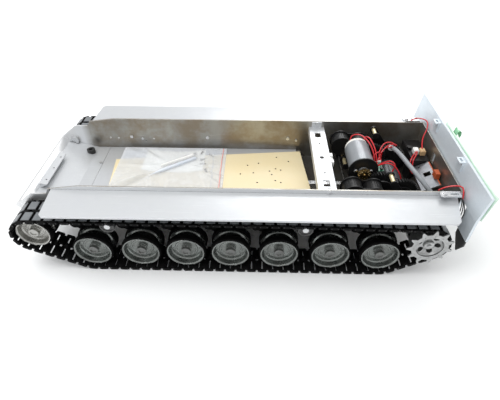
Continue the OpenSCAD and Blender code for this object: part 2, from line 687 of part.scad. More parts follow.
POST_TOP = [-163, 86.5];
POST_LOW = [-130, 52];
COVER_1 = [-124, 71];
COVER_2 = [-146, 69];
module gearbox(motor, side) {
    on_side(side) color([0.12, 0.12, 0.13]) {
        gearbox_plate(PLATE_Y[0],
            [[motor[0], motor[1], min(16.5, motor[1] - belly_z - sheet - 0.15)],
                [SHAFT_1[0], SHAFT_1[1], 6], [SHAFT_2[0], SHAFT_2[1], 6], [POST_LOW[0], POST_LOW[1], 4]],
            [[motor, SHAFT_1, 10, 5], [SHAFT_1, SHAFT_2, 5, 5], [SHAFT_1, POST_LOW, 5, 3.5]],
            [[motor[0], motor[1], 5.2], [SHAFT_1[0], SHAFT_1[1], shaft_r],
                [SHAFT_2[0], SHAFT_2[1], shaft_r]]);
        gearbox_plate(PLATE_Y[1],
            [[SHAFT_1[0], SHAFT_1[1], 15], [SHAFT_2[0], SHAFT_2[1], 12], [SPROCKET[0], SPROCKET[1], 10.5],
                [POST_LOW[0], POST_LOW[1], 5], [POST_TOP[0], POST_TOP[1], 4],
                [COVER_1[0], COVER_1[1], 12.5], [COVER_2[0], COVER_2[1], 12.5]],
            [[SHAFT_1, SHAFT_2, 14, 11], [SHAFT_2, SPROCKET, 11, 10], [SHAFT_1, POST_LOW, 10, 5],
                [COVER_1, SHAFT_1, 10, 12]],
            [[SHAFT_1[0], SHAFT_1[1], shaft_r], [SHAFT_2[0], SHAFT_2[1], shaft_r],
                [SPROCKET[0], SPROCKET[1], final_shaft_r]]);
        gearbox_plate(PLATE_Y[2],
            [[COVER_1[0], COVER_1[1], 12.5], [COVER_2[0], COVER_2[1], 12.5], [SHAFT_2[0], SHAFT_2[1], 9],
                [SPROCKET[0], SPROCKET[1], 10.5], [POST_TOP[0], POST_TOP[1], 4],
                [POST_LOW[0], POST_LOW[1], 5]],
            [[COVER_1, COVER_2, 10, 10], [COVER_2, SHAFT_2, 11, 8], [SHAFT_2, SPROCKET, 8, 9],
                [POST_TOP, SHAFT_2, 3.5, 6], [COVER_2, POST_LOW, 7, 4]],
            [[SHAFT_2[0], SHAFT_2[1], shaft_r], [SPROCKET[0], SPROCKET[1], final_shaft_r]]);
    }
    // Spacer posts between the plates, and the two front covers
    on_side(side) color("khaki") {
        bar(POST_TOP, 2.2, PLATE_Y[1] + plate_t, PLATE_Y[2]);
        bar(POST_LOW, 2.2, PLATE_Y[1] + plate_t, PLATE_Y[2]);
        bar(POST_LOW, 2.2, PLATE_Y[0] + plate_t, PLATE_Y[1]);
    }
    on_side(side) color([0.1, 0.1, 0.1]) for (p = [COVER_1, COVER_2])
        difference() {
            bar(p, 10.9, PLATE_Y[1] + plate_t, PLATE_Y[2]);
            for (a = [0 : 15 : 345])
                translate([p[0], PLATE_Y[1] + 4, p[1]]) rotate([0, a, 0])
                    translate([10.4, 0, -0.4]) cube([2, 8, 0.8]);
        }
}

module gearbox_frames() {
    gearbox(MOTOR_A, "left");
    gearbox(MOTOR_B, "right");
}

// A drive motor: can, end bell, front boss with a bore for its shaft, and two terminals
module motor(p, len, side) {
    on_side(side) {
        color("gray") difference() {
            union() {
                bar(p, motor_r, PLATE_Y[0] - len + 6, PLATE_Y[0] - 0.05);
                bar(p, 5.15, PLATE_Y[0] - 0.1, PLATE_Y[0] + plate_t + 0.8);
            }
            bar(p, 1.15 + bearing_gap, PLATE_Y[0] - 7, PLATE_Y[0] + 5);
        }
        color("ivory") bar(p, motor_r - 0.8, PLATE_Y[0] - len + 1.5, PLATE_Y[0] - len + 6);
        color("goldenrod") for (s = [-8, 8])
            translate([p[0] + s - 1, PLATE_Y[0] - len, p[1] + 2]) cube([2, 1.5, 4]);
    }
}

module drive_motors() {
    motor(MOTOR_A, motor_a_len, "left");
    motor(MOTOR_B, motor_b_len, "right");
}

// Outline of a toothed ring with pointed teeth
module ring_outline() {
    difference() {
        union() {
            circle(r = ring_r, $fn = 96);
            for (k = [0 : sprocket_teeth - 1]) rotate(tooth_phase + k * 360 / sprocket_teeth)
                polygon([[ring_r - 1, -3], [ring_r + 0.8, -2.4], [tooth_tip_r, -0.7],
                    [tooth_tip_r, 0.7], [ring_r + 0.8, 2.4], [ring_r - 1, 3]]);
        }
        circle(r = 13.6, $fn = 72);
    }
}

// A sprocket: two toothed rings that stand beside the track, the dished drum, the shaft and the final gear
module sprocket(side) {
    outer = track_w / 2 + ring_gap;
    n_holes = 6;
    on_side(side) {
        color("silver") difference() {
            union() {
                across(track_y + outer, track_y + outer + ring_t) translate(SPROCKET) ring_outline();
                across(track_y - outer - inner_ring_t, track_y - outer) translate(SPROCKET) ring_outline();
                turned(SPROCKET, track_y) polygon([
                    [final_shaft_r, -10], [6, -10], [6, -7], [10, -6.5],
                    [14.5, -outer - 0.2], [drum_r, -outer - 0.2],
                    [drum_r, -4.6], [15.6, -4.6], [15.6, -12], [11.6, -5], [9, -4.8], [9, 4.8], [11.6, 5],
                    [15.6, 9], [15.6, 4.6], [drum_r, 4.6], [drum_r, outer + 0.2], [14.5, outer + 0.2],
                    [12.6, outer - 2.6], [9, outer - 4], [5.5, outer - 4],
                    [5, outer - 1.8], [final_shaft_r, outer - 1.8],
                ]);
            }
            for (k = [0 : n_holes - 1])
                bar(SPROCKET + 9.8 * [cos(k * 60 + 10), sin(k * 60 + 10)],
                    2.9, track_y + 3.9, track_y + outer + 3);
            for (k = [0 : sprocket_teeth - 1])
                bar(SPROCKET + 15.9 * [cos(tooth_phase + k * 360 / sprocket_teeth),
                    sin(tooth_phase + k * 360 / sprocket_teeth)], 0.6, track_y + outer + ring_t - 0.6,
                    track_y + outer + 3);
        }
        color("slategray") {
            union() {
                bar(SPROCKET, final_shaft_r, 36.5, track_y + outer - 2.2);
                bar(SPROCKET, 4.6, track_y + outer - 1.75, track_y + outer - 0.9);
                bar(SPROCKET, 2, track_y + outer - 3, track_y + outer + 0.6);
            }
        }
        color([0.1, 0.1, 0.1]) difference() {
            gear(SPROCKET, FINAL_TEETH, facing(FINAL_ANGLE, FINAL_TEETH), STAGE_3);
            bar(SPROCKET, final_shaft_r + 0.01, STAGE_3[0] - 1, STAGE_3[1] + 1);
        }
    }
}

// ---------- Electrics and small fittings ----------

// A bent lead: an upright half ring of radius r about p, turned by yaw about Z
module lead(p, r, yaw) {
    translate(p) rotate([0, 0, yaw]) rotate([90, 0, 0])
        rotate_extrude(angle = 180) translate([r, 0]) circle(r = 0.7, $fn = 16);
}

BOARD = [-158.5, 0, 68.4];
module wiring_harness() {
    color("seagreen") translate(BOARD - [7.5, 9, 0]) cube([15, 18, 1.6]);
    color("crimson") {
        // Motor leads, over the terminals of each motor
        lead([MOTOR_A[0] - 14.5, PLATE_Y[0] - motor_a_len + 0.75, MOTOR_A[1] + 7], 6.5, 0);
        lead([MOTOR_A[0] + 1.5, PLATE_Y[0] - motor_a_len + 0.75, MOTOR_A[1] + 7], 6.5, 0);
        lead([MOTOR_B[0], motor_b_len - PLATE_Y[0] - 0.6, MOTOR_B[1] + 7.2], 8, 0);
        // Leads of the board, and the loop at the rear corner
        lead([BOARD[0] - 3, 4, 70.5], 6, 60);
        lead([BOARD[0] - 3, -5, 70.5], 7, 20);
        lead([-216, wall_in - 4.5, 84.5], 7, 0);
    }
    // Sleeved cable to the rear
    color("lightgray") translate([-180, -23, 83]) rotate([0, 0, 17.1]) rotate([-90, 0, 0])
        cylinder(r = 2.6, h = 68);
    // Plugs on the smoke unit
    color("white") translate([-214.5, -32, 69.3]) cube([6, 8, 6.5]);
    color("tan") translate([-221.4, -30, 69.3]) cube([6.5, 9, 6.5]);
}

module smoke_unit() {
    color([0.15, 0.15, 0.16]) {
        union() {
            across(-57, -13) polygon([[-204.4, 60], [-204.4, 69], [-224.5, 69], [-224.5, 61]]);
            across(-30, -13) polygon([[-204.4, 37], [-204.4, 61], [-223, 61.1], [-223, 60.2]]);
            translate([-207, -38, 69 - eps]) cylinder(r = 3, h = 3);
        }
    }
}

// A drilled plate that slopes up to the rear over the charging socket
module switch_bracket() {
    color("silver") difference() {
        across(-12, 31)
            polygon([[-205.2, 57.5], [-205.2, 59.2], [-222.6, 68.4], [-224.1, 68.4], [-224.1, 67.2]]);
        translate([-220, 4, 55]) cube([7, 7, 20]);
        for (y = [-8, 27]) translate([-212, y, 55]) cylinder(r = 1.2, h = 20);
    }
    color("orangered") translate([-224.6, 12, 68.5]) cube([5, 9, 7]);
}

module screw(p, r, h) {
    translate(p) cylinder(r = r, h = h);
}

// Screws, and the lugs at the rear corners of the hull
module fixings() {
    color("silver") {
        // Screws of the cross member, with their heads inside
        both_sides() union() {
            bar([-95, 86.6], 2.2, wall_in - 3.1, wall_in - 1.7);
            bar([-95, 86.6], 1, wall_in - 1.8, wall_out);
        }
        both_sides() for (p = WALL_BOLTS) {
            bar(p, 2.2, wall_in - 1.3, wall_in);
            bar(p, 1, wall_in - eps, wall_out + 0.8);
        }
        for (y = [-29, 29]) {
            screw([176.8, y, floor_top], 2, 1.4);
            screw([176.8, y, floor_top - 5], 1, 5.1);
        }
        both_sides() {
            difference() {
                union() {
                    translate([-223, wall_out + 0.1, wall_top + 0.1]) cube([17, 8, 1.5]);
                    translate([-207, wall_out + 4.4, wall_top + 0.1]) cylinder(r = 4.2, h = 1.5);
                    translate([-221, wall_out + 0.1, guard_top + 2.3])
                        cube([14, 1.2, wall_top - guard_top - 2]);
                }
                translate([-221, wall_out + 3.3, wall_top - 1]) cube([8, 2.4, 4]);
            }
            screw([-207.5, wall_out + 4.4, wall_top + 1.55], 2.3, 1.5);
        }
    }
    color([0.08, 0.08, 0.08]) translate([GROMMET[0], GROMMET[1], floor_top - 1.4]) difference() {
        cylinder(r = 5, h = 7);
        translate([0, 0, -1]) cylinder(r = 2.4, h = 9);
    }
}

hull_tub();
floor_plate();
track_guards();
rear_plate();
cross_member();
front_bracket();
equipment_plate();
spares_bag();
track_left();
track_right();
gearbox_frames();
drive_motors();
torsion_bars();
fixed_axles();
wiring_harness();
smoke_unit();
switch_bracket();
fixings();
road_wheel(1, "left");  // road_wheel_left_1
road_wheel(2, "left");  // road_wheel_left_2
road_wheel(3, "left");  // road_wheel_left_3
road_wheel(4, "left");  // road_wheel_left_4
road_wheel(5, "left");  // road_wheel_left_5
road_wheel(6, "left");  // road_wheel_left_6
road_wheel(7, "left");  // road_wheel_left_7
road_wheel(1, "right");  // road_wheel_right_1
road_wheel(2, "right");  // road_wheel_right_2
road_wheel(3, "right");  // road_wheel_right_3
road_wheel(4, "right");  // road_wheel_right_4
road_wheel(5, "right");  // road_wheel_right_5
road_wheel(6, "right");  // road_wheel_right_6
road_wheel(7, "right");  // road_wheel_right_7
swing_arm(1, "left");  // swing_arm_left_1
swing_arm(2, "left");  // swing_arm_left_2
swing_arm(3, "left");  // swing_arm_left_3
swing_arm(4, "left");  // swing_arm_left_4
swing_arm(5, "left");  // swing_arm_left_5
swing_arm(6, "left");  // swing_arm_left_6
swing_arm(7, "left");  // swing_arm_left_7
swing_arm(1, "right");  // swing_arm_right_1
swing_arm(2, "right");  // swing_arm_right_2
swing_arm(3, "right");  // swing_arm_right_3
swing_arm(4, "right");  // swing_arm_right_4
swing_arm(5, "right");  // swing_arm_right_5
swing_arm(6, "right");  // swing_arm_right_6
swing_arm(7, "right");  // swing_arm_right_7
idler("left");  // idler_left
idler("right");  // idler_right
return_roller(0, "left");  // return_roller_left_front
return_roller(1, "left");  // return_roller_left_rear
return_roller(0, "right");  // return_roller_right_front
return_roller(1, "right");  // return_roller_right_rear
sprocket("left");  // sprocket_left
sprocket("right");  // sprocket_right
motor_pinion(MOTOR_A, MOTOR_A_ANGLE, "left");  // motor_pinion_left
motor_pinion(MOTOR_B, MOTOR_B_ANGLE - 180, "right");  // motor_pinion_right
first_gear(MOTOR_A_ANGLE, "left");  // first_gear_left
first_gear(MOTOR_B_ANGLE - 180, "right");  // first_gear_right
second_gear("left");  // second_gear_left
second_gear("right");  // second_gear_right
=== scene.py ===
"""Looks of the tracked tank chassis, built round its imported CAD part."""
import json
import math
import random

import bpy
import numpy as np
from mathutils import Matrix, Vector


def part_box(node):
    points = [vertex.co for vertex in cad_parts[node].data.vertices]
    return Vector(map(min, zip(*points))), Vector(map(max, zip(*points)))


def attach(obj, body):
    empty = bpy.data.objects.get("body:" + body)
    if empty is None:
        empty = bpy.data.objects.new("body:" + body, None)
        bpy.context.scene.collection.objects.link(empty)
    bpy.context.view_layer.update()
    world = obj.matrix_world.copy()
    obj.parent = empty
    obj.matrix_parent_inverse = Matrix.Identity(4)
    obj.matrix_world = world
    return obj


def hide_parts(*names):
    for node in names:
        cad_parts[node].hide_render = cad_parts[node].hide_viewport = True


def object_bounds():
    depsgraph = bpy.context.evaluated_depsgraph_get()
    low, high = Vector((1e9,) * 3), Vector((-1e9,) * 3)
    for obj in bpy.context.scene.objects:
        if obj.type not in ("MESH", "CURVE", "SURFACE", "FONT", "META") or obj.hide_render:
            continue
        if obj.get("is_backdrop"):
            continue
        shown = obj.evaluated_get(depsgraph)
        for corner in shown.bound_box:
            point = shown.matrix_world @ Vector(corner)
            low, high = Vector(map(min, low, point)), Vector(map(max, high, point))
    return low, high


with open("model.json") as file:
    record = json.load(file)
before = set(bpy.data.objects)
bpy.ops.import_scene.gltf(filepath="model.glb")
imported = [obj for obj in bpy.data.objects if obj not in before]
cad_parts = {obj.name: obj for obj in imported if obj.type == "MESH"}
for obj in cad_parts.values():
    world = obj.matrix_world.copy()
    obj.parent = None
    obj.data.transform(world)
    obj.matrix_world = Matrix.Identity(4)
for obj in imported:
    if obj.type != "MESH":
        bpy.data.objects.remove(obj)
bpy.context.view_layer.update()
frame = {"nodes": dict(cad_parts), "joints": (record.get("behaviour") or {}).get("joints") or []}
NODES = frame["nodes"]
JOINTS = {j["name"]: j for j in frame["joints"]}
MM = 0.001
SIDES = {"left": 1, "right": -1}
random.seed(7)


def mm(point):
    return Vector(point) * MM


def joint_at(name):
    """A joint's place, in millimetres."""
    return Vector(JOINTS[name]["pos_m"]) / MM


def box_mm(name):
    low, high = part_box(name)
    return np.array(low) / MM, np.array(high) / MM


def radius_of(name):
    low, high = box_mm(name)
    return round(float(high[2] - low[2]) / 2, 1)


# ---------- Materials ----------

def add(tree, kind, values=None, **settings):
    """Adds a shader node, with input values by name and settings by attribute."""
    made = tree.nodes.new(kind)
    for key, value in settings.items():
        setattr(made, key, value)
    for key, value in (values or {}).items():
        made.inputs[key].default_value = value
    return made


def join(tree, source, target):
    tree.links.new(source, target)


def noise(tree, vector, scale, detail=5.0, roughness=0.6):
    made = add(tree, "ShaderNodeTexNoise", {"Scale": scale, "Detail": detail, "Roughness": roughness})
    join(tree, vector, made.inputs["Vector"])
    return made.outputs["Fac"]


def ramp(tree, value, low, high, out_low=0.0, out_high=1.0):
    """Maps value from low..high to out_low..out_high, clamped."""
    limits = {"From Min": low, "From Max": high, "To Min": out_low, "To Max": out_high}
    made = add(tree, "ShaderNodeMapRange", limits)
    join(tree, value, made.inputs["Value"])
    return made.outputs["Result"]


def maths(tree, operation, first, second=None):
    made = add(tree, "ShaderNodeMath", operation=operation)
    for slot, value in zip(made.inputs, (first, second)):
        if value is None:
            continue
        if isinstance(value, (int, float)):
            slot.default_value = value
        else:
            join(tree, value, slot)
    return made.outputs[0]


def mix(tree, factor, first, second):
    """Mixes two colours. Each is a colour tuple or a socket."""
    made = add(tree, "ShaderNodeMix", data_type="RGBA")
    sockets = [s for s in made.inputs if s.type == "RGBA"]
    for slot, value in zip(sockets, (first, second)):
        if isinstance(value, tuple):
            slot.default_value = (*value, 1.0)
        else:
            join(tree, value, slot)
    join(tree, factor, made.inputs[0])
    return [s for s in made.outputs if s.type == "RGBA"][0]


def surface(name, base, rough, metal=0.0, tint=None, tint_mix=0.5, blotch=45.0, rough_spread=0.12,
            grain=900.0, grain_depth=0.015, stretch=(1, 1, 1), scratch=0.0, edge=None, edge_width=0.3,
            coat=0.0, specular=0.5, extra=None):
    """A material with blotches of tint, grain in the bump, scratches and lighter edges as painted edge
    highlights, in millimetres.
    """
    mat = bpy.data.materials.new(name)
    mat.use_nodes = True
    tree = mat.node_tree
    bsdf = tree.nodes["Principled BSDF"]
    coords = add(tree, "ShaderNodeTexCoord")
    place = add(tree, "ShaderNodeMapping", {"Scale": stretch})
    join(tree, coords.outputs["Object"], place.inputs["Vector"])
    vector = place.outputs["Vector"]
    large = noise(tree, vector, blotch, 6.0, 0.62)
    fine = noise(tree, vector, grain, 3.0, 0.5)
    tint = tint or tuple(c * 0.8 for c in base)
    colour = mix(tree, ramp(tree, large, 0.35, 0.68, 0.0, tint_mix), base, tint)
    roughness = ramp(tree, large, 0.3, 0.7, rough - rough_spread / 2, rough + rough_spread / 2)
    height = fine
    if scratch:
        slant = add(tree, "ShaderNodeMapping", {"Rotation": (0.2, 0.1, 0.5), "Scale": (25, 900, 900)})
        join(tree, coords.outputs["Object"], slant.inputs["Vector"])
        lines = ramp(tree, noise(tree, slant.outputs["Vector"], 1.0, 2.0, 0.5), 0.64, 0.7)
        bright = tuple(min(1.0, c * 1.25) for c in base)
        colour = mix(tree, maths(tree, "MULTIPLY", lines, scratch), colour, bright)
        height = maths(tree, "SUBTRACT", height, maths(tree, "MULTIPLY", lines, scratch))
    if extra:
        colour = extra(tree, coords.outputs["Object"], colour)
    round_edge = add(tree, "ShaderNodeBevel", {"Radius": edge_width * MM}, samples=4)
    # Painted edge highlights: near each edge, found by the bevel normal, the colour moves towards the edge
    # colour, more in some blotches than others.
    if edge:
        geometry = add(tree, "ShaderNodeNewGeometry")
        facing = add(tree, "ShaderNodeVectorMath", operation="DOT_PRODUCT")
        join(tree, round_edge.outputs["Normal"], facing.inputs[0])
        join(tree, geometry.outputs["Normal"], facing.inputs[1])
        edge_highlight_mask = ramp(tree, facing.outputs["Value"], 0.99, 0.85)
        edge_highlight_mask = maths(tree, "MULTIPLY", edge_highlight_mask, ramp(tree, large, 0.3, 0.6, 0.25, 0.9))
        colour = mix(tree, edge_highlight_mask, colour, edge)
    bump = add(tree, "ShaderNodeBump", {"Strength": 0.6, "Distance": grain_depth * MM})
    join(tree, height, bump.inputs["Height"])
    join(tree, round_edge.outputs["Normal"], bump.inputs["Normal"])
    join(tree, bump.outputs["Normal"], bsdf.inputs["Normal"])
    join(tree, colour, bsdf.inputs["Base Color"])
    join(tree, roughness, bsdf.inputs["Roughness"])
    bsdf.inputs["Metallic"].default_value = metal
    bsdf.inputs["Coat Weight"].default_value = coat
    bsdf.inputs["Specular IOR Level"].default_value = specular
    return mat


def wall_stains_and_painted_light(tree, position, colour):
    """Stains on the inner walls with painted shade towards the floor, painted light on the nose and on the
    outer faces, and painted shadow, near black, on the outer faces below the track guards.
    """
    parts = add(tree, "ShaderNodeSeparateXYZ")
    join(tree, position, parts.inputs[0])
    along, height = parts.outputs["X"], parts.outputs["Z"]
    aside = maths(tree, "ABSOLUTE", parts.outputs["Y"])
    patches = noise(tree, position, 26.0, 5.0, 0.68)
    stains_and_foot_shade = mix(tree, ramp(tree, patches, 0.42, 0.62, 0.0, 0.7), colour, (0.26, 0.2, 0.13))
    # Painted shade: the walls darken towards the floor.
    painted_foot_shade = ramp(tree, height, 0.062, 0.046, 0.0, 0.6)
    stains_and_foot_shade = mix(tree, painted_foot_shade, stains_and_foot_shade, (0.09, 0.085, 0.08))
    # Painted light: the nose and the outer faces of the walls are made bright.
    nose = mix(tree, ramp(tree, along, 0.196, 0.206), stains_and_foot_shade, (0.8, 0.81, 0.82))
    outside = maths(tree, "GREATER_THAN", aside, (WALL_OUTER - 0.05) * MM)
    nose = mix(tree, outside, nose, (0.72, 0.73, 0.74))
    # Painted shadow: the outer faces below the guards, behind the nose, are made near black.
    low = maths(tree, "LESS_THAN", height, GUARD_TOP * MM)
    behind = maths(tree, "LESS_THAN", along, 0.192)
    painted_shadow_mask = maths(tree, "MULTIPLY", maths(tree, "MULTIPLY", outside, low), behind)
    return mix(tree, painted_shadow_mask, nose, (0.006, 0.006, 0.0065))


WALL_OUTER = box_mm("hull_tub")[1][1]
GUARD_TOP = box_mm("track_guards")[1][2]
BRIGHT = (0.63, 0.65, 0.665)
MAT = {
    "guard": surface(
        "guard_aluminium", BRIGHT, 0.42, 0.6, (0.56, 0.575, 0.6), 0.75, 22, 0.16, 1200, 0.008,
        scratch=0.25, edge=(0.95, 0.95, 0.96), edge_width=0.4,
    ),
    "hull": surface(
        "hull_aluminium", (0.46, 0.455, 0.43), 0.34, 0.85, (0.3, 0.29, 0.26), 0.7, 18, 0.2, 1200,
        0.008, (1, 1, 0.35), scratch=0.3, edge=(0.9, 0.9, 0.9), edge_width=0.4, extra=wall_stains_and_painted_light,
    ),
    "rear": surface(
        "rear_aluminium", (0.74, 0.81, 0.86), 0.38, 0.35, (0.58, 0.64, 0.7), 0.6, 35, 0.2, 1200, 0.008,
        scratch=0.4, edge=(0.95, 0.95, 0.95), edge_width=0.4,
    ),
    "board": surface(
        "cream_board", (0.78, 0.66, 0.4), 0.5, 0.0, (0.8, 0.71, 0.5), 0.7, 14, 0.1, 1500, 0.01,
        coat=0.1,
    ),
    "wheel": surface(
        "wheel_aluminium", (0.25, 0.27, 0.26), 0.26, 0.95, (0.16, 0.16, 0.15), 0.6, 90, 0.16, 1500,
        0.006, edge=(0.62, 0.63, 0.62), edge_width=0.35,
    ),
    "idler": surface(
        "idler_aluminium", (0.46, 0.46, 0.44), 0.28, 0.95, (0.33, 0.32, 0.3), 0.6, 90, 0.14, 1500,
        0.006, edge=(0.85, 0.85, 0.83), edge_width=0.35,
    ),
    "cap": surface(
        "hub_cap", (0.2, 0.205, 0.2), 0.34, 0.9, (0.13, 0.13, 0.125), 0.6, 160, 0.15, 1500, 0.006,
        edge=(0.5, 0.5, 0.48), edge_width=0.3,
    ),
    "tyre": surface(
        "tyre_rubber", (0.002, 0.002, 0.0022), 0.65, 0.0, (0.005, 0.005, 0.005), 0.7, 140, 0.14, 1400,
        0.03, edge=(0.01, 0.01, 0.01), specular=0.06,
    ),
    "track": surface(
        "track_black", (0.004, 0.004, 0.0042), 0.48, 0.0, (0.009, 0.009, 0.0092), 0.7, 160, 0.2, 1500,
        0.02, edge=(0.014, 0.014, 0.0145), edge_width=0.2, specular=0.05,
    ),
    # The pads' light grey-blue base is partly their own grey and partly painted reflection of the bright
    # surroundings.
    "pad": surface(
        "track_pad", (0.15, 0.16, 0.17), 0.36, 0.0, (0.2, 0.21, 0.22), 0.6, 200, 0.15, 2200, 0.012,
        edge=(0.24, 0.25, 0.26), edge_width=0.2, specular=0.5,
    ),
    "sprocket": surface(
        "sprocket_metal", (0.46, 0.47, 0.47), 0.36, 0.95, (0.28, 0.28, 0.275), 0.6, 110, 0.2, 1300,
        0.012, edge=(0.82, 0.82, 0.82),
    ),
    "black": surface(
        "black_plastic", (0.008, 0.008, 0.0085), 0.34, 0.0, (0.015, 0.015, 0.0155), 0.6, 120, 0.16,
        1500, 0.012, edge=(0.03, 0.03, 0.031), specular=0.25,
    ),
    "gear": surface(
        "gear_plastic", (0.008, 0.008, 0.0085), 0.42, 0.0, (0.016, 0.016, 0.016), 0.6, 140, 0.16, 1500,
        0.012, edge=(0.05, 0.05, 0.05), edge_width=0.2, specular=0.2,
    ),
    "motor": surface(
        "motor_can", (0.29, 0.31, 0.33), 0.36, 0.35, (0.24, 0.25, 0.27), 0.6, 50, 0.12, 1500, 0.01,
        coat=0.2,
    ),
    # A darker copy of the motor can, used on the rear motor: painted shade.
    "motor_painted_shade": surface(
        "motor_can_painted_shade", (0.08, 0.085, 0.09), 0.36, 0.35, (0.05, 0.05, 0.055), 0.6, 50, 0.12, 1500,
        0.01, coat=0.2,
    ),
    "end_bell": surface(
        "motor_end", (0.8, 0.79, 0.74), 0.45, 0.0, (0.7, 0.69, 0.64), 0.5, 150, 0.1, 1500, 0.01,
    ),
    "brass": surface(
        "brass", (0.72, 0.5, 0.2), 0.28, 1.0, (0.55, 0.38, 0.14), 0.5, 150, 0.14, 1500, 0.006,
        edge=(0.9, 0.75, 0.45),
    ),
    "spacer": surface(
        "spacer_brass", (0.85, 0.74, 0.46), 0.35, 0.7, (0.72, 0.6, 0.34), 0.5, 150, 0.12, 1500, 0.006,
    ),
    "steel": surface(
        "bright_steel", (0.7, 0.71, 0.72), 0.28, 1.0, (0.5, 0.51, 0.52), 0.5, 160, 0.15, 1500, 0.006,
        edge=(0.92, 0.92, 0.92),
    ),
    "arm": surface(
        "arm_metal", (0.006, 0.006, 0.0062), 0.55, 0.1, (0.01, 0.01, 0.01), 0.6, 120, 0.15, 1400, 0.02,
        edge=(0.03, 0.03, 0.03), specular=0.08,
    ),
    "roller": surface(
        "roller_metal", (0.09, 0.09, 0.09), 0.35, 0.8, (0.05, 0.05, 0.05), 0.6, 140, 0.15, 1400, 0.01,
        edge=(0.45, 0.45, 0.45),
    ),
    "bracket": surface(
        "bracket_steel", (0.3, 0.31, 0.33), 0.36, 0.8, (0.2, 0.21, 0.23), 0.6, 120, 0.15, 1400, 0.01,
        edge=(0.6, 0.61, 0.62),
    ),
    "red": surface(
        "red_wire", (0.62, 0.012, 0.02), 0.3, 0.0, (0.45, 0.008, 0.015), 0.5, 200, 0.1, 1500, 0.004,
        coat=0.3,
    ),
    "grey": surface(
        "grey_sleeve", (0.3, 0.32, 0.34), 0.42, 0.0, (0.22, 0.24, 0.26), 0.6, 120, 0.12, 1500, 0.02,
    ),
    "dark_wire": surface(
        "dark_wire", (0.02, 0.02, 0.022), 0.35, 0.0, (0.04, 0.04, 0.04), 0.5, 200, 0.1, 1500, 0.004,
    ),
    "white": surface(
        "white_plastic", (0.84, 0.84, 0.82), 0.4, 0.0, (0.76, 0.76, 0.74), 0.5, 150, 0.1, 1500, 0.006,
        coat=0.15,
    ),
    "tan": surface(
        "tan_plastic", (0.62, 0.42, 0.22), 0.45, 0.0, (0.5, 0.33, 0.17), 0.5, 150, 0.1, 1500, 0.006,
    ),
    "orange": surface(
        "orange_plastic", (0.5, 0.1, 0.03), 0.4, 0.0, (0.38, 0.07, 0.02), 0.5, 150, 0.1, 1500, 0.006,
    ),
    "green": surface(
        "board_green", (0.02, 0.16, 0.09), 0.32, 0.0, (0.04, 0.24, 0.13), 0.6, 350, 0.1, 1500, 0.006,
        coat=0.3,
    ),
    "film": surface(
        "green_film", (0.62, 0.84, 0.68), 0.36, 0.0, (0.76, 0.9, 0.79), 0.7, 60, 0.12, 600, 0.02,
        coat=0.2,
    ),
    # The tab's darker green, a darker copy of the film, is painted shade on the folded tab.
    "film_tab": surface(
        "film_tab", (0.2, 0.52, 0.28), 0.36, 0.0, (0.28, 0.6, 0.36), 0.6, 90, 0.12, 600, 0.02,
        coat=0.2,
    ),
    "rubber": surface(
        "grommet_rubber", (0.014, 0.014, 0.014), 0.5, 0.0, (0.025, 0.025, 0.025), 0.6, 150, 0.12, 1500,
        0.02,
    ),
    "paper": surface(
        "white_paper", (0.8, 0.8, 0.77), 0.7, 0.0, (0.74, 0.73, 0.68), 0.5, 60, 0.1, 1800, 0.006,
    ),
}


def paint(name, *rules):
    """Gives a CAD node its materials: the first rule is for every face, and later rules, with a test on the
    face's centre, lowest and highest corner and normal, in millimetres, take over."""
    mesh = NODES[name].data
    mesh.materials.clear()
    tests = [None]
    for rule in rules:
        mesh.materials.append(MAT[rule[0]] if isinstance(rule, tuple) else MAT[rule])
        if isinstance(rule, tuple):
            tests.append(rule[1])
    if len(tests) < 2:
        for face in mesh.polygons:
            face.material_index = 0
        return
    for face in mesh.polygons:
        corners = np.array([mesh.vertices[i].co for i in face.vertices]) / MM
        index = 0
        for k, test in enumerate(tests[1:], 1):
            if test(corners.mean(axis=0), corners, face.normal):
                index = k
        face.material_index = index


def smooth(name, angle=30.0):
    """Smooth shading across edges flatter than angle."""
    mesh = NODES[name].data
    mesh.shade_smooth()
    mesh.set_sharp_from_angle(angle=math.radians(angle))


# ---------- Mesh helpers ----------

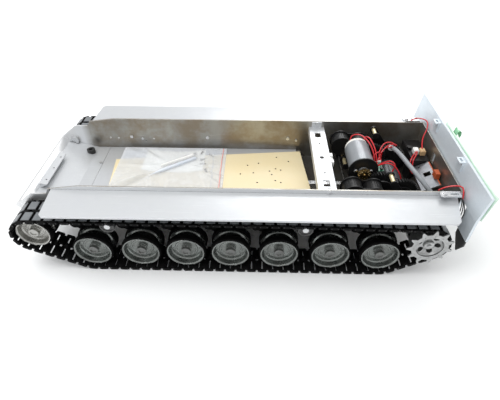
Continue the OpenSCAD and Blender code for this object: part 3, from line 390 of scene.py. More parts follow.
class Shape:
    """Corners and faces, in millimetres, gathered before they become one mesh."""

    def __init__(self):
        self.points = []
        self.faces = []
        self.looks = []

    def ring_stack(self, rings, look=0, closed=True, caps=True):
        """Joins rings of the same number of points with quads, and caps the ends."""
        start = len(self.points)
        count = len(rings[0])
        for ring in rings:
            self.points.extend(tuple(p) for p in ring)
        for k in range(len(rings) - 1):
            for i in range(count if closed else count - 1):
                a = start + k * count + i
                b = start + k * count + (i + 1) % count
                self.faces.append((a, b, b + count, a + count))
                self.looks.append(look)
        if caps:
            self.faces.append(tuple(start + i for i in reversed(range(count))))
            last = start + (len(rings) - 1) * count
            self.faces.append(tuple(last + i for i in range(count)))
            self.looks.extend((look, look))

    def prism(self, outline, y0, y1, bevel=0.2, look=0):
        """An outline of (x, z) points drawn out along Y, with a small chamfer round each end."""
        middle = np.mean(np.array(outline, float), axis=0)

        def ring(y, inset):
            made = []
            for x, z in outline:
                away = np.array((x, z)) - middle
                length = max(np.linalg.norm(away), 1e-6)
                x2, z2 = middle + away * max(0.0, length - inset) / length
                made.append((x2, y, z2))
            return made

        rings = [ring(y0, bevel), ring(y0 + bevel, 0), ring(y1 - bevel, 0), ring(y1, bevel)]
        self.ring_stack(rings, look)

    def lathe(self, profile, centre=(0, 0, 0), axis="Y", steps=32, look=0):
        """Turns (radius, height) points about an axis through centre."""
        rings = []
        for radius, height in profile:
            ring = []
            for k in range(steps):
                a = 2 * math.pi * k / steps
                c, s = radius * math.cos(a), radius * math.sin(a)
                local = (c, height, -s) if axis == "Y" else (c, s, height)
                ring.append(tuple(np.array(local) + np.array(centre)))
            rings.append(ring)
        self.ring_stack(rings, look)

    def tube(self, path, radius, sides=10, look=0):
        """A round lead along a smooth path. radius is a number or a function of the share of the path."""
        path = [Vector(p) for p in path]
        rings = []
        side = None
        for k, point in enumerate(path):
            ahead = (path[min(k + 1, len(path) - 1)] - path[max(k - 1, 0)]).normalized()
            if side is None:
                side = ahead.cross(Vector((0, 0, 1)))
                if side.length < 0.1:
                    side = ahead.cross(Vector((1, 0, 0)))
            side = (side - ahead * side.dot(ahead)).normalized()
            other = ahead.cross(side)
            r = radius(k / (len(path) - 1)) if callable(radius) else radius
            ring = []
            for i in range(sides):
                a = 2 * math.pi * i / sides
                ring.append(tuple(point + side * (r * math.cos(a)) + other * (r * math.sin(a))))
            rings.append(ring)
        self.ring_stack(rings, look)

    def slab(self, low, high, bevel=0.25, look=0, turn=None):
        """A box with chamfered edges. turn is a matrix about its centre."""
        x0, y0, z0 = low
        x1, y1, z1 = high
        b = bevel
        centre = (Vector(low) + Vector(high)) / 2

        def ring(z, inset):
            made = []
            for x, y, dx, dy in ((x0, y0, 1, 1), (x1, y0, -1, 1), (x1, y1, -1, -1), (x0, y1, 1, -1)):
                first = (x + dx * inset, y + dy * (b + inset), z)
                second = (x + dx * (b + inset), y + dy * inset, z)
                pair = [first, second]
                if (dx, dy) in ((-1, 1), (1, -1)):
                    pair.reverse()
                made.extend(pair)
            if turn is None:
                return made
            return [tuple(turn @ (Vector(p) - centre) + centre) for p in made]

        self.ring_stack([ring(z0, b), ring(z0 + b, 0), ring(z1 - b, 0), ring(z1, b)], look)

    def copy_of(self, other, matrix):
        """Adds another shape, moved by a 4x4 matrix."""
        start = len(self.points)
        moved = np.array([(*p, 1.0) for p in other.points]) @ np.array(matrix).T
        self.points.extend(tuple(p[:3]) for p in moved)
        self.faces.extend(tuple(start + i for i in f) for f in other.faces)
        self.looks.extend(other.looks)

    def build(self, name, looks, body="hull", angle=35.0):
        mesh = bpy.data.meshes.new(name)
        mesh.from_pydata([tuple(c * MM for c in p) for p in self.points], [], self.faces)
        for look in looks:
            mesh.materials.append(MAT[look])
        for face, look in zip(mesh.polygons, self.looks):
            face.material_index = look
        mesh.validate()
        mesh.update()
        mesh.shade_smooth()
        mesh.set_sharp_from_angle(angle=math.radians(angle))
        obj = bpy.data.objects.new(name, mesh)
        bpy.context.scene.collection.objects.link(obj)
        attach(obj, body)
        return obj


def spline(points, steps=10):
    """A smooth path through points."""
    points = [Vector(p) for p in points]
    ends = [points[0] * 2 - points[1]] + points + [points[-1] * 2 - points[-2]]
    path = []
    for k in range(len(points) - 1):
        a, b, c, d = ends[k:k + 4]
        for i in range(steps):
            t = i / steps
            path.append(((b * 2) + (c - a) * t + (a * 2 - b * 5 + c * 4 - d) * t ** 2
                         + (b * 3 - a - c * 3 + d) * t ** 3) * 0.5)
    path.append(points[-1])
    return path


# ---------- CAD nodes ----------

track_low, track_high = box_mm("track_left")
WHEEL_Y = float(track_low[1] + track_high[1]) / 2


def polar(place, corners):
    """Distance from an axle at place, and distance from the track's middle plane, for each corner."""
    r = np.hypot(corners[:, 0] - place.x, corners[:, 2] - place.z)
    v = np.abs(np.abs(corners[:, 1]) - WHEEL_Y)
    return r, v


def tyre_face(place, rim):
    """A test for the faces of the tyres, which stand on the rim between its lips."""

    def test(centre, corners, normal):
        r, v = polar(place, corners)
        return r.min() > rim - 0.35 and v.max() < 11.1

    return test


def cap_face(place):
    """A test for the faces of the hub cap and the axle end."""

    def test(centre, corners, normal):
        r, v = polar(place, corners)
        return r.max() < 5.4 and abs(centre[1]) > WHEEL_Y + 6.9

    return test


for name in ("floor_plate", "track_guards", "front_bracket"):
    paint(name, "guard")
member_low = box_mm("cross_member")[0]
paint("cross_member", "guard", ("white", lambda c, p, n: p[:, 0].max() < member_low[0] + 3.1))
paint("hull_tub", "hull")
flap_top = 53.95
paint("rear_plate", "rear", ("rubber", lambda c, p, n: p[:, 2].max() < flap_top and abs(c[1]) > 80))
# The walls of the plate's small holes take the black rubber: painted shade in the holes.
paint("equipment_plate", "board",
      ("rubber", lambda c, p, n: abs(n.z) < 0.2 and np.ptp(p, axis=0).max() < 2.2))
switch_top = box_mm("switch_bracket")[1][2]
paint("switch_bracket", "bracket", ("orange", lambda c, p, n: p[:, 2].min() > switch_top - 7.1))
paint("smoke_unit", "black")
paint("torsion_bars", "steel")
paint("fixings", "steel", ("rubber", lambda c, p, n: p[:, 0].min() > 190 and c[1] < -45))
paint("fixed_axles", "arm",
      ("steel", lambda c, p, n: p[:, 0].max() < 200 or abs(c[1]) < 66 or abs(c[1]) > 80))

for side, sign in SIDES.items():
    for i in range(1, 8):
        name = f"road_wheel_{side}_{i}"
        place = joint_at(f"{name}_spin")
        paint(name, "wheel", ("tyre", tyre_face(place, radius_of(name) - 1.7)), ("cap", cap_face(place)))
        paint(f"swing_arm_{side}_{i}", "arm")
    name = f"idler_{side}"
    place = joint_at(f"{name}_spin")
    paint(name, "idler", ("tyre", tyre_face(place, radius_of(name) - 1.6)))
    for end in ("front", "rear"):
        paint(f"return_roller_{side}_{end}", "roller")
    paint(f"sprocket_{side}", "sprocket",
          ("gear", lambda c, p, n: 40 < abs(c[1]) < 49.1 and np.hypot(c[0] + 195.5, c[2] - 47) > 2.9),
          ("steel", lambda c, p, n: abs(c[1]) < 66 and np.hypot(c[0] + 195.5, c[2] - 47) < 3.1))
    paint(f"motor_pinion_{side}", "brass")
    paint(f"first_gear_{side}", "gear")
    paint(f"second_gear_{side}", "gear")

POSTS = ((-163, 86.5), (-130, 52))
POST_END = 52.6


def post_face(centre, corners, normal):
    """The spacer posts between the gearbox plates."""
    y = np.abs(corners[:, 1])
    near = [np.hypot(corners[:, 0] - x, corners[:, 2] - z).max() < 2.4 for x, z in POSTS]
    return any(near) and y.min() > 22 and y.max() < POST_END


paint("gearbox_frames", "black", ("spacer", post_face))

front_motor = joint_at("motor_left_spin")
rear_motor = joint_at("motor_right_spin")
motor_low, motor_high = box_mm("drive_motors")


def on_rear_motor(centre):
    return math.hypot(centre[0] - rear_motor.x, centre[2] - rear_motor.z) < 16


def bell_face(centre, corners, normal):
    """The end bell, at the end of each can away from its gearbox."""
    if on_rear_motor(centre):
        return corners[:, 1].min() > motor_high[1] - 6.1
    return corners[:, 1].max() < motor_low[1] + 6.1


def terminal_face(centre, corners, normal):
    if on_rear_motor(centre):
        return corners[:, 1].min() > motor_high[1] - 1.55
    return corners[:, 1].max() < motor_low[1] + 1.55


# The rear motor's can takes the darker copy: painted shade.
paint("drive_motors", "motor", ("motor_painted_shade", lambda c, p, n: on_rear_motor(c)), ("end_bell", bell_face),
      ("brass", terminal_face))
for name in NODES:
    smooth(name)


# ---------- Tracks ----------

PIN_HALF = 2.6
TUBE_R = 1.3
PIN_OVER = 1.6
LINK_PITCH = 11.5
LINKS_A_SIDE = 82
LINK_PHASE = 3.4
TEETH = 11


def belt_circles(side):
    """The circles that the track's pins wrap, as (x, z, radius), in millimetres, anticlockwise."""
    circles = []
    for name in (f"road_wheel_{side}_7", f"road_wheel_{side}_1", f"idler_{side}",
                 f"return_roller_{side}_front", f"return_roller_{side}_rear"):
        place = joint_at(f"{name}_spin")
        circles.append((place.x, place.z, radius_of(name) + PIN_OVER))
    place = joint_at(f"sprocket_{side}_spin")
    circles.append((place.x, place.z, TEETH * LINK_PITCH / (2 * math.pi)))
    return circles


def belt_points(circles, count, phase):
    """Evenly spaced (x, z, heading) along the belt round the circles."""
    n = len(circles)
    runs = []
    for i in range(n):
        xa, za, ra = circles[i]
        xb, zb, rb = circles[(i + 1) % n]
        length = math.hypot(xb - xa, zb - za)
        heading = math.atan2(zb - za, xb - xa) + math.asin((ra - rb) / length)
        runs.append((heading, math.sqrt(length ** 2 - (ra - rb) ** 2)))
    pieces = []
    for i in range(n):
        x, z, r = circles[i]
        before = runs[i - 1][0]
        turn = (runs[i][0] - before + 0.0001) % (2 * math.pi) - 0.0001
        pieces.append(("arc", x, z, r, before, r * turn))
        start = (x + r * math.sin(runs[i][0]), z - r * math.cos(runs[i][0]))
        pieces.append(("run", *start, 0.0, *runs[i]))
    total = sum(p[5] for p in pieces)
    points = []
    for k in range(count):
        s = (k * total / count + phase) % total
        for kind, x, z, r, heading, length in pieces:
            if s <= length:
                break
            s -= length
        if kind == "arc":
            a = heading + s / r
            points.append((x + r * math.sin(a), z - r * math.cos(a), a))
        else:
            points.append((x + s * math.cos(heading), z + s * math.sin(heading), heading))
    return points


def rounded(x0, x1, z0, z1, r, steps=3):
    """An outline of (x, z) points with rounded corners."""
    outline = []
    corners = ((x1 - r, z1 - r, 0), (x0 + r, z1 - r, 90), (x0 + r, z0 + r, 180), (x1 - r, z0 + r, 270))
    for cx, cz, start in corners:
        for i in range(steps + 1):
            a = math.radians(start + 90 * i / steps)
            outline.append((cx + r * math.cos(a), cz + r * math.sin(a)))
    return outline


def link_body(width):
    """One link's two pad columns, tubes and pins, with its pin line on the X axis. -Z is outwards."""
    shape = Shape()
    outer = width / 2 - 2.55
    inner = 1.85
    for sign in (-1, 1):
        y0, y1 = sorted((sign * inner, sign * outer))
        shape.prism(rounded(-5.1, 5.1, -1.15, 0.95, 0.35), y0, y1, 0.3, 0)
        shape.prism([(-4.35, -1.1), (4.35, -1.1), (3.9, -1.7), (-3.9, -1.7)], y0 + 0.35, y1 - 0.35, 0.15, 1)
        for x in (-PIN_HALF, PIN_HALF):
            rings = []
            for y, r in ((y0 - 0.12, 1.1), (y0, TUBE_R), (y1, TUBE_R), (y1 + 0.12, 1.1)):
                rings.append([(x + r * math.cos(a), y, -r * math.sin(a)) for a in
                              [2 * math.pi * k / 12 for k in range(12)]])
            shape.ring_stack(rings, 0)
        # A web between the tubes on the inner face
        shape.prism([(-1.6, 0.8), (1.6, 0.8), (1.3, 1.25), (-1.3, 1.25)], y0 + 1, y1 - 1, 0.2, 0)
    for x in (-PIN_HALF, PIN_HALF):
        shape.lathe([(0.5, -width / 2 - 0.05), (0.75, -width / 2 + 0.15), (0.75, width / 2 - 0.15),
                     (0.5, width / 2 + 0.05)], (x, 0, 0), "Y", 10, 2)
    return shape


def link_connectors(width, gap):
    """The end connectors, and the centre connector with its guide horn, from x = 0 to x = gap."""
    shape = Shape()
    lobe = []
    for k in range(7):
        a = math.radians(90 + 180 * k / 6)
        lobe.append((1.6 * math.cos(a), 1.6 * math.sin(a)))
    for k in range(7):
        a = math.radians(-90 + 180 * k / 6)
        lobe.append((gap + 1.6 * math.cos(a), 1.6 * math.sin(a)))
    for y0, y1 in ((-width / 2, -width / 2 + 2.3), (width / 2 - 2.3, width / 2), (-1.6, 1.6)):
        shape.prism(lobe, y0, y1, 0.3, 0)
    # Guide horn: a wedge with a rounded tip
    z0, z1 = 1.2, 7.0
    rings = []
    for t, taper in ((0, 1.0), (0.35, 0.78), (0.7, 0.52), (0.93, 0.34), (1, 0.2)):
        half = (gap - 1.4) / 2 * taper
        wide = 1.5 * (1 - 0.35 * t)
        z = z0 + (z1 - z0) * t
        middle = gap / 2
        rings.append([(middle - half, -wide * 0.7, z), (middle - half * 0.7, -wide, z),
                      (middle + half * 0.7, -wide, z), (middle + half, -wide * 0.7, z),
                      (middle + half, wide * 0.7, z), (middle + half * 0.7, wide, z),
                      (middle - half * 0.7, wide, z), (middle - half, wide * 0.7, z)])
    shape.ring_stack(rings, 0)
    return shape


def place_in_belt(x, y, z, heading):
    """A link's matrix: its X axis along the heading, its Z axis towards the inside of the loop."""
    return Matrix.Translation((x, y, z)) @ Matrix.Rotation(-heading, 4, "Y")


def make_track(side):
    low, high = box_mm(f"track_{side}")
    width = round(float(high[1] - low[1]), 1)
    middle = float(low[1] + high[1]) / 2
    points = belt_points(belt_circles(side), LINKS_A_SIDE, LINK_PHASE)
    body = link_body(width)
    whole = Shape()
    for k, (x, z, heading) in enumerate(points):
        whole.copy_of(body, place_in_belt(x, middle, z, heading))
        x2, z2, heading2 = points[(k + 1) % len(points)]
        start = (x + PIN_HALF * math.cos(heading), z + PIN_HALF * math.sin(heading))
        end = (x2 - PIN_HALF * math.cos(heading2), z2 - PIN_HALF * math.sin(heading2))
        gap = math.hypot(end[0] - start[0], end[1] - start[1])
        slope = math.atan2(end[1] - start[1], end[0] - start[0])
        whole.copy_of(link_connectors(width, gap), place_in_belt(start[0], middle, start[1], slope))
    track = whole.build(f"links_{side}", ["track", "pad", "dark_wire"], angle=28)
    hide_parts(f"track_{side}")
    return track


for side in SIDES:
    make_track(side)


# ---------- Leads, cable, plugs and board ----------

LEADS = {
    # From the front motor's end bell, over its can, to the board
    "lead_motor_1": [(-130, -25.2, 84.5), (-132, -28.5, 92), (-140, -24, 96.5), (-147.5, -10, 95.5),
                     (-153, 0, 86), (-156, 6, 71.2)],
    "lead_motor_2": [(-146, -25.2, 84.5), (-147.5, -28, 91), (-151, -20, 94), (-154.5, -6, 90),
                     (-157, 2, 80), (-158.5, 6, 71.2)],
    # Loops between the board and the sleeved cable
    "lead_loop_1": [(-164, -6, 71.2), (-163.5, -14, 80), (-169, -20, 87.5), (-177, -22, 88), (-182, -23, 84),
                    (-181, -24, 80.5)],
    "lead_loop_2": [(-161, -5, 71.2), (-166, -14, 79), (-173, -19, 85), (-180, -21.5, 86), (-185, -23.5, 83),
                    (-182, -25, 79.5)],
    "lead_loop_3": [(-154, -6, 71.2), (-157, -10, 78), (-162, -12, 81), (-166, -13, 78), (-166, -12, 71.2)],
    "lead_loop_4": [(-166, -8, 71.2), (-165, -14, 76), (-170, -18, 82), (-178, -20, 83), (-183, -22, 79)],
    # From the board to the rear motor's terminals
    "lead_rear_1": [(-156, 5, 71.2), (-159, 8, 77), (-167, 11, 82), (-175, 14, 79.5), (-182, 18.4, 70),
                    (-185.8, 18.4, 56.5)],
    "lead_rear_2": [(-158, 3, 71.2), (-162, 6, 78), (-170, 9, 83.5), (-175, 13, 80), (-171, 16, 68),
                    (-170.2, 18.2, 56.5)],
    # From the plugs down to the socket under the bracket
    "lead_plug_1": [(-212, -24, 74), (-207, -14, 76), (-203, -8, 73), (-202.5, -4, 66), (-204, -2, 60.5)],
    "lead_plug_2": [(-212, -26, 74), (-205.5, -17, 74.5), (-201, -10, 70), (-201.5, -4, 62),
                    (-204, 0, 59.5)],
    # From the far rear lug to the plugs, and the loop at the near rear corner
    "lead_far_corner": [(-211, -66.5, 91.5), (-219, -67, 94.5), (-227.5, -60, 95), (-227, -51, 90),
                        (-222, -43, 83), (-219, -34, 79), (-218, -27, 76)],
    "lead_near_corner": [(-207, 58.5, 84), (-213, 59.5, 89), (-221, 61.5, 92.5), (-226.6, 64, 92.5),
                         (-227, 69, 89), (-226.4, 73, 83)],
}


def make_leads():
    shape = Shape()
    for name in sorted(LEADS):
        shape.tube(spline(LEADS[name], 10), 0.75, 10, 0)
    return shape


harness = make_leads()
# Dark leads that leave through the gap behind the near guard, and under the far one
for sign in (1, -1):
    for k in range(3):
        path = [(-224.5 + 0.3 * k, sign * (70 + 2 * k), 87.5), (-225.6, sign * (73 + 3 * k), 84),
                (-226.4, sign * (76 + 4 * k), 76), (-226.2, sign * (78 + 3 * k), 66)]
        harness.tube(spline(path, 8), 0.5, 8, 1)
# Sleeved cable, with fine ribs
CABLE = [(-180, -24.5, 80), (-182.5, -12, 83), (-185.5, 2, 84), (-188.5, 18, 84.5), (-192.5, 33, 84),
         (-198.5, 44, 80), (-206, 51, 73)]
harness.tube(spline(CABLE, 40), lambda t: 2.45 + 0.12 * math.sin(t * 420), 16, 2)
harness.lathe([(0, 0), (2.9, 0), (3.1, 0.4), (3.1, 4), (2.6, 4.6), (0, 4.6)], (-180, -25, 76.2), "Z", 20, 3)
# Board
harness.slab((-166, -9, 68.4), (-151, 9, 70), 0.2, 4)
# Its parts: corner, width, depth, height and look
BOARD_PARTS = (
    (-157.5, 3.2, 5.5, 4.2, 3.4, 3), (-165, -8.2, 4.4, 3.4, 3.0, 3), (-159, -7.4, 3.6, 3.6, 1.2, 1),
    (-163.6, -2.2, 2.0, 1.3, 0.8, 1), (-160.6, -1.6, 2.0, 1.3, 0.8, 5), (-156.0, -2.6, 2.6, 2.0, 1.0, 1),
    (-154.2, -6.6, 1.4, 2.8, 0.9, 5), (-164.8, 3.4, 2.4, 4.4, 2.2, 1),
)
for x, y, w, d, h, look in BOARD_PARTS:
    harness.slab((x, y, 70.0), (x + w, y + d, 70.0 + h), 0.15, look)
# Plugs on the smoke unit: housings with a rim, ribs and wire entries
PLUGS = (
    ((-214.5, -32, 69.2), (-208.5, -24, 75.2), 3),
    ((-221.8, -30.5, 69.2), (-215.8, -22.5, 75.4), 6),
)
for low, high, look in PLUGS:
    harness.slab(low, high, 0.35, look)
    x0, y0, z0 = low
    x1, y1, z1 = high
    harness.slab((x0 + 0.8, y0 + 0.8, z1 - 0.2), (x1 - 0.8, y1 - 0.8, z1 + 0.7), 0.2, look)
    for k in range(3):
        y = y0 + 1.4 + k * 2.3
        harness.slab((x1 - 0.15, y, z0 + 0.8), (x1 + 0.35, y + 0.9, z1 - 0.8), 0.1, look)
leads = harness.build("harness_detail", ["red", "dark_wire", "grey", "white", "green", "steel", "tan"])
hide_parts("wiring_harness")


# ---------- Screws on the front motor's plate ----------

small = Shape()
for sign, motor in ((1, front_motor), (-1, rear_motor)):
    for dx in (-8.2, 8.2):
        y = sign * 22.55
        profile = [(0, 0), (1.9, 0), (1.9, sign * 0.7), (1.5, sign * 1.15), (0.8, sign * 1.35),
                   (0, sign * 1.35)]
        small.lathe(profile, (motor.x + dx, y, motor.z + 0.5), "Y", 20, 0)
small.build("motor_screws", ["steel"])

# Outer ends of the cross member's screws, domed against the side plates
domes = Shape()
for sign in SIDES.values():
    y = sign * (WALL_OUTER + 0.02)
    profile = [(0, 0), (2.1, 0), (2.1, sign * 0.5), (1.7, sign * 1.0), (0.9, sign * 1.25), (0, sign * 1.3)]
    domes.lathe(profile, (-95, y, 86.6), "Y", 20, 0)
domes.build("wall_screws", ["steel"])


# ---------- Green protective film on the rear plate ----------

plate_low, plate_high = box_mm("rear_plate")


def make_film():
    """A thin sheet over the rear plate's outer face. It stands off a little along its edges."""
    shape = Shape()
    across, up = 80, 16
    bottom = (-231.9, 82.0)
    top = (-236.0, 111.2)
    rings = []
    for j in range(up + 1):
        t = j / up
        ring = []
        for i in range(across + 1):
            s = i / across
            y = -34 + 135.5 * s
            wave = 0.25 * math.sin(13 * s + 2 * t) + 0.2 * math.sin(31 * s + 5 * t)
            curl = 0.5 + 1.1 * t ** 3 + 1.6 * max(0.0, (abs(s - 0.5) - 0.44) / 0.06) ** 2
            x = bottom[0] + (top[0] - bottom[0]) * t - curl - 0.35 * wave * (0.4 + t)
            z = bottom[1] + (top[1] - bottom[1]) * t + 0.5 * t * wave
            ring.append((x, y, z))
        rings.append(ring)
    shape.ring_stack(rings, 0, closed=False, caps=False)
    # Pull tab, folded up over the edge
    tab = []
    fold = ((-236.9, 108), (-237.8, 111.5), (-238.3, 114.5), (-240.2, 116.2), (-242.0, 114.6),
            (-242.6, 111.2), (-241.4, 108.6))
    for j, (x, z) in enumerate(fold):
        ring = []
        for i in range(9):
            s = i / 8
            y = -12 + 10 * s + 0.4 * math.sin(j)
            ring.append((x - 0.5 * math.sin(3 * s + j), y, z + 0.6 * math.sin(5 * s + j)))
        tab.append(ring)
    shape.ring_stack(tab, 1, closed=False, caps=False)
    obj = shape.build("protective_film", ["film", "film_tab"], angle=80)
    thick = obj.modifiers.new("thickness", "SOLIDIFY")
    thick.thickness = 0.15 * MM
    return obj


make_film()


# ---------- Bag of spare parts ----------

def clear_film(name, tint, haze):
    """Crinkled clear film: see-through, with bright reflections on its folds."""
    mat = bpy.data.materials.new(name)
    mat.use_nodes = True
    tree = mat.node_tree
    bsdf = tree.nodes["Principled BSDF"]
    output = tree.nodes["Material Output"]
    coords = add(tree, "ShaderNodeTexCoord")
    creases = noise(tree, coords.outputs["Object"], 60.0, 4.0, 0.6)
    bump = add(tree, "ShaderNodeBump", {"Strength": 0.35, "Distance": 0.08 * MM})
    join(tree, creases, bump.inputs["Height"])
    join(tree, bump.outputs["Normal"], bsdf.inputs["Normal"])
    bsdf.inputs["Base Color"].default_value = (*tint, 1.0)
    bsdf.inputs["Roughness"].default_value = 0.12
    clear = add(tree, "ShaderNodeBsdfTransparent", {"Color": (0.97, 0.98, 0.99, 1.0)})
    edge_on = add(tree, "ShaderNodeLayerWeight", {"Blend": 0.35})
    join(tree, bump.outputs["Normal"], edge_on.inputs["Normal"])
    share = maths(tree, "ADD", ramp(tree, edge_on.outputs["Fresnel"], 0.0, 0.8, haze, 0.7),
                  ramp(tree, creases, 0.5, 0.75, 0.0, 0.1))
    both = add(tree, "ShaderNodeMixShader")
    join(tree, share, both.inputs[0])
    join(tree, clear.outputs[0], both.inputs[1])
    join(tree, bsdf.outputs[0], both.inputs[2])
    join(tree, both.outputs[0], output.inputs["Surface"])
    return mat


MAT["clear"] = clear_film("clear_film", (0.95, 0.97, 1.0), 0.34)
MAT["blue_white"] = surface("pen_plastic", (0.62, 0.68, 0.76), 0.35, 0.0, (0.8, 0.82, 0.85), 0.6, 60, 0.1,
                            1500, 0.006)
MAT["zip_red"] = surface("zip_red", (0.82, 0.36, 0.32), 0.4, 0.0, (0.86, 0.5, 0.46), 0.5, 120, 0.1, 900,
                         0.01)

bag_low, bag_high = box_mm("spares_bag")
BAG_COLUMNS = 67
BAG_ROWS = 61
REST_Z = float(bag_low[2])


def lying_rod(shape, tip, tail, profile, look, steps=20, flat=1.0):
    """A turned piece that lies on the plate. profile holds (share of the length, radius) pairs."""
    tip, tail = Vector(tip), Vector(tail)
    ahead = (tail - tip).normalized()
    side = ahead.cross(Vector((0, 0, 1))).normalized()
    rings = []
    for share, radius in profile:
        centre = tip.lerp(tail, share)
        ring = []
        for k in range(steps):
            a = 2 * math.pi * k / steps
            lift = Vector((0, 0, radius * flat * math.sin(a)))
            ring.append(tuple(centre + side * (radius * math.cos(a)) + lift))
        rings.append(ring)
    shape.ring_stack(rings, look)


def bag_contents():
    """A tube, a grease pen, a folded sheet and a few screws."""
    shape = Shape()
    z = REST_Z + 2.4
    lying_rod(shape, (97.2, -19.7, z), (60.5, -43.8, z),
              [(0, 1.2), (0.01, 2.1), (0.1, 2.2), (0.11, 2.0), (0.88, 2.0), (0.89, 2.3), (0.99, 2.3),
               (1, 1.6)], 0)
    lying_rod(shape, (108.5, -1.2, z), (56.6, -37.4, z),
              [(0, 0.3), (0.04, 0.5), (0.16, 1.4), (0.24, 2.2), (0.25, 2.5), (0.7, 2.6), (0.72, 2.1),
               (0.74, 2.4), (0.97, 2.4), (1, 1.5)], 1, flat=0.85)
    loose = ((58.4, -48.6, 20), (49.9, -52.7, 75), (40.3, -46.5, 140), (50.9, -35, 200),
             (44.3, -27.9, 10), (43, -16.1, 110))
    for x, y, turn in loose:
        end = (x + 6 * math.cos(math.radians(turn)), y + 6 * math.sin(math.radians(turn)), REST_Z + 1.4)
        lying_rod(shape, (x, y, REST_Z + 1.4), end,
                  [(0, 0.9), (0.03, 1.35), (0.16, 1.35), (0.22, 0.65), (0.95, 0.65), (1, 0.3)], 2, steps=12)
    paper = Shape()
    rings = []
    for j in range(13):
        ring = []
        for i in range(17):
            x = 46 + 76 * i / 16
            y = -58 + 44 * j / 12 + 4 * math.sin(i / 5)
            ring.append((x, y, REST_Z + 0.2 + 0.12 * math.sin(i * 0.9) * math.sin(j * 0.7)))
        rings.append(ring)
    paper.ring_stack(rings, 0, closed=False, caps=False)
    pieces = shape.build("bag_contents", ["white", "blue_white", "steel"])
    sheet = paper.build("bag_sheet", ["paper"], angle=80)
    return pieces, sheet


def sheet_start(i, j):
    """Where a corner of the upper film starts, in millimetres."""
    x = bag_low[0] + (bag_high[0] - bag_low[0]) * i / BAG_COLUMNS
    y = bag_low[1] + (bag_high[1] - bag_low[1]) * j / BAG_ROWS
    edge = min(i, j, BAG_COLUMNS - i, BAG_ROWS - j)
    lift = 1.0 - math.exp(-edge / 3.0)
    puff = 3.4 + 0.9 * math.sin(0.11 * x + 0.07 * y) + 0.5 * math.sin(0.23 * y - 0.09 * x)
    return Vector((x, y, REST_Z + 0.5 + lift * puff))


def settle_film(obstacles):
    """Lets the upper film sink onto the contents as cloth, at a hundred times the size. Its edge is fixed."""
    scene = bpy.context.scene
    big = 100.0
    corners = [sheet_start(i, j) for j in range(BAG_ROWS + 1) for i in range(BAG_COLUMNS + 1)]
    wide = BAG_COLUMNS + 1
    faces = [(j * wide + i, j * wide + i + 1, (j + 1) * wide + i + 1, (j + 1) * wide + i)
             for j in range(BAG_ROWS) for i in range(BAG_COLUMNS)]
    mesh = bpy.data.meshes.new("film_simulation")
    start = [tuple(c * MM * big + Vector((0, 0, random.uniform(-0.003, 0.003)))) for c in corners]
    mesh.from_pydata(start, [], faces)
    film = bpy.data.objects.new("film_simulation", mesh)
    scene.collection.objects.link(film)
    pins = film.vertex_groups.new(name="edge")
    border = [j * wide + i for j in range(BAG_ROWS + 1) for i in range(wide)
              if min(i, j, BAG_COLUMNS - i, BAG_ROWS - j) == 0]
    pins.add(border, 1.0, "REPLACE")
    cloth = film.modifiers.new("cloth", "CLOTH")
    cloth.settings.quality = 5
    cloth.settings.mass = 0.15
    cloth.settings.tension_stiffness = 30
    cloth.settings.compression_stiffness = 30
    cloth.settings.bending_stiffness = 2.0
    cloth.settings.shrink_min = -0.03
    cloth.settings.vertex_group_mass = "edge"
    cloth.collision_settings.distance_min = 0.02
    cloth.point_cache.frame_end = 40
    helpers = []
    ground = bpy.data.meshes.new("film_ground")
    reach = 12.0
    level = REST_Z * MM * big
    middle = (bag_low + bag_high) / 2 * MM * big
    outline = [(middle[0] + reach * a, middle[1] + reach * b, level)
               for a, b in ((-1, -1), (1, -1), (1, 1), (-1, 1))]
    ground.from_pydata(outline, [], [(0, 1, 2, 3)])
    helpers.append(bpy.data.objects.new("film_ground", ground))
    for obstacle in obstacles:
        copy = obstacle.data.copy()
        copy.transform(Matrix.Scale(big, 4))
        helpers.append(bpy.data.objects.new("film_obstacle", copy))
    for helper in helpers:
        scene.collection.objects.link(helper)
        helper.modifiers.new("collision", "COLLISION")
        helper.collision.thickness_outer = 0.02
    for frame_number in range(1, 41):
        scene.frame_set(frame_number)
    settled = film.evaluated_get(bpy.context.evaluated_depsgraph_get()).to_mesh()
    corners = [v.co / big / MM for v in settled.vertices]
    for helper in helpers + [film]:
        bpy.data.objects.remove(helper, do_unlink=True)
    scene.frame_set(1)
    return corners


def make_bag():
    """The upper and lower film of the bag as one closed sheet, with its zip."""
    pieces, sheet = bag_contents()
    corners = settle_film([pieces])
    wide = BAG_COLUMNS + 1
    rows = [corners[j * wide:(j + 1) * wide] for j in range(BAG_ROWS + 1)]
    ceiling = bag_high[2] + 3.0
    shape = Shape()
    for layer in (1, 0):
        rings = []
        for row in rows:
            if layer:
                rings.append([(p.x, p.y, min(max(p.z, REST_Z + 0.15), ceiling)) for p in row])
            else:
                rings.append([(p.x, p.y, REST_Z + 0.05) for p in row])
        shape.ring_stack(rings, 0, closed=False, caps=False)
    bag = shape.build("bag_film", ["clear"], angle=60)
    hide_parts("spares_bag")
    zip_shape = Shape()
    for column, width, look in ((2, 0.6, 0), (7, 0.4, 1)):
        rings = []
        for row in rows[1:-1]:
            p = row[column]
            z = max(p.z, REST_Z + 0.15)
            rings.append([(p.x - width, p.y, z - 0.1), (p.x - width * 0.6, p.y, z + 0.45),
                          (p.x + width * 0.6, p.y, z + 0.45), (p.x + width, p.y, z - 0.1)])
        zip_shape.ring_stack(rings, look)
    zip_shape.build("bag_zip", ["zip_red", "clear"], angle=50)


make_bag()


# ---------- Stage, light and camera ----------

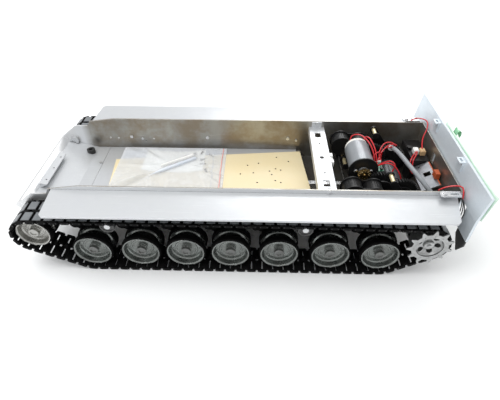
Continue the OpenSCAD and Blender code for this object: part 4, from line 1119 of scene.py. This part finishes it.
def make_floor():
    mesh = bpy.data.meshes.new("floor")
    half = 12.0
    outline = [(-half, -half, 0), (half, -half, 0), (half, half, 0), (-half, half, 0)]
    mesh.from_pydata(outline, [], [(0, 1, 2, 3)])
    floor = bpy.data.objects.new("floor", mesh)
    bpy.context.scene.collection.objects.link(floor)
    floor.location.z = -0.0002
    mat = surface("floor_white", (0.96, 0.97, 0.975), 0.55, 0.0, (0.95, 0.96, 0.967), 0.3, 3, 0.1, 300,
                  0.005)
    mesh.materials.append(mat)
    floor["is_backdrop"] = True


def make_world():
    world = bpy.data.worlds.new("studio")
    world.use_nodes = True
    bpy.context.scene.world = world
    tree = world.node_tree
    back = tree.nodes["Background"]
    coords = add(tree, "ShaderNodeTexCoord")
    parts = add(tree, "ShaderNodeSeparateXYZ")
    join(tree, coords.outputs["Generated"], parts.inputs[0])
    bright = ramp(tree, parts.outputs["Z"], -0.1, 0.9, 0.9, 1.0)
    shade = add(tree, "ShaderNodeCombineColor")
    for k in range(3):
        join(tree, bright, shade.inputs[k])
    join(tree, shade.outputs[0], back.inputs["Color"])
    back.inputs["Strength"].default_value = 0.85


def area_light(name, place, target, size, power, colour=(1, 1, 1)):
    data = bpy.data.lights.new(name, "AREA")
    data.shape = "DISK"
    data.size = size
    data.energy = power
    data.color = colour
    lamp = bpy.data.objects.new(name, data)
    bpy.context.scene.collection.objects.link(lamp)
    lamp.location = place
    aim = Vector(target) - Vector(place)
    lamp.rotation_euler = aim.to_track_quat("-Z", "Y").to_euler()


def make_camera():
    data = bpy.data.cameras.new("camera")
    data.sensor_width = 36.0
    data.lens = 28.87
    camera = bpy.data.objects.new("camera", data)
    bpy.context.scene.collection.objects.link(camera)
    yaw, pitch = 0.0248, 0.7298
    forward = Vector((math.sin(yaw) * math.cos(pitch), -math.cos(yaw) * math.cos(pitch), -math.sin(pitch)))
    right = forward.cross(Vector((0, 0, 1))).normalized()
    up = right.cross(forward)
    turn = Matrix((right, up, -forward)).transposed().to_4x4()
    camera.matrix_world = Matrix.Translation((-0.02214, 0.37564, 0.35006)) @ turn
    bpy.context.scene.camera = camera


make_floor()
make_world()
area_light("key", (0.5, 0.2, 1.3), (0, 0, 0.05), 1.0, 10)
area_light("back", (-0.3, -1.2, 0.9), (0, 0, 0.05), 0.9, 7)
make_camera()
bpy.context.scene.view_settings.view_transform = "Standard"
bpy.context.scene.view_settings.look = "None"

low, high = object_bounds()
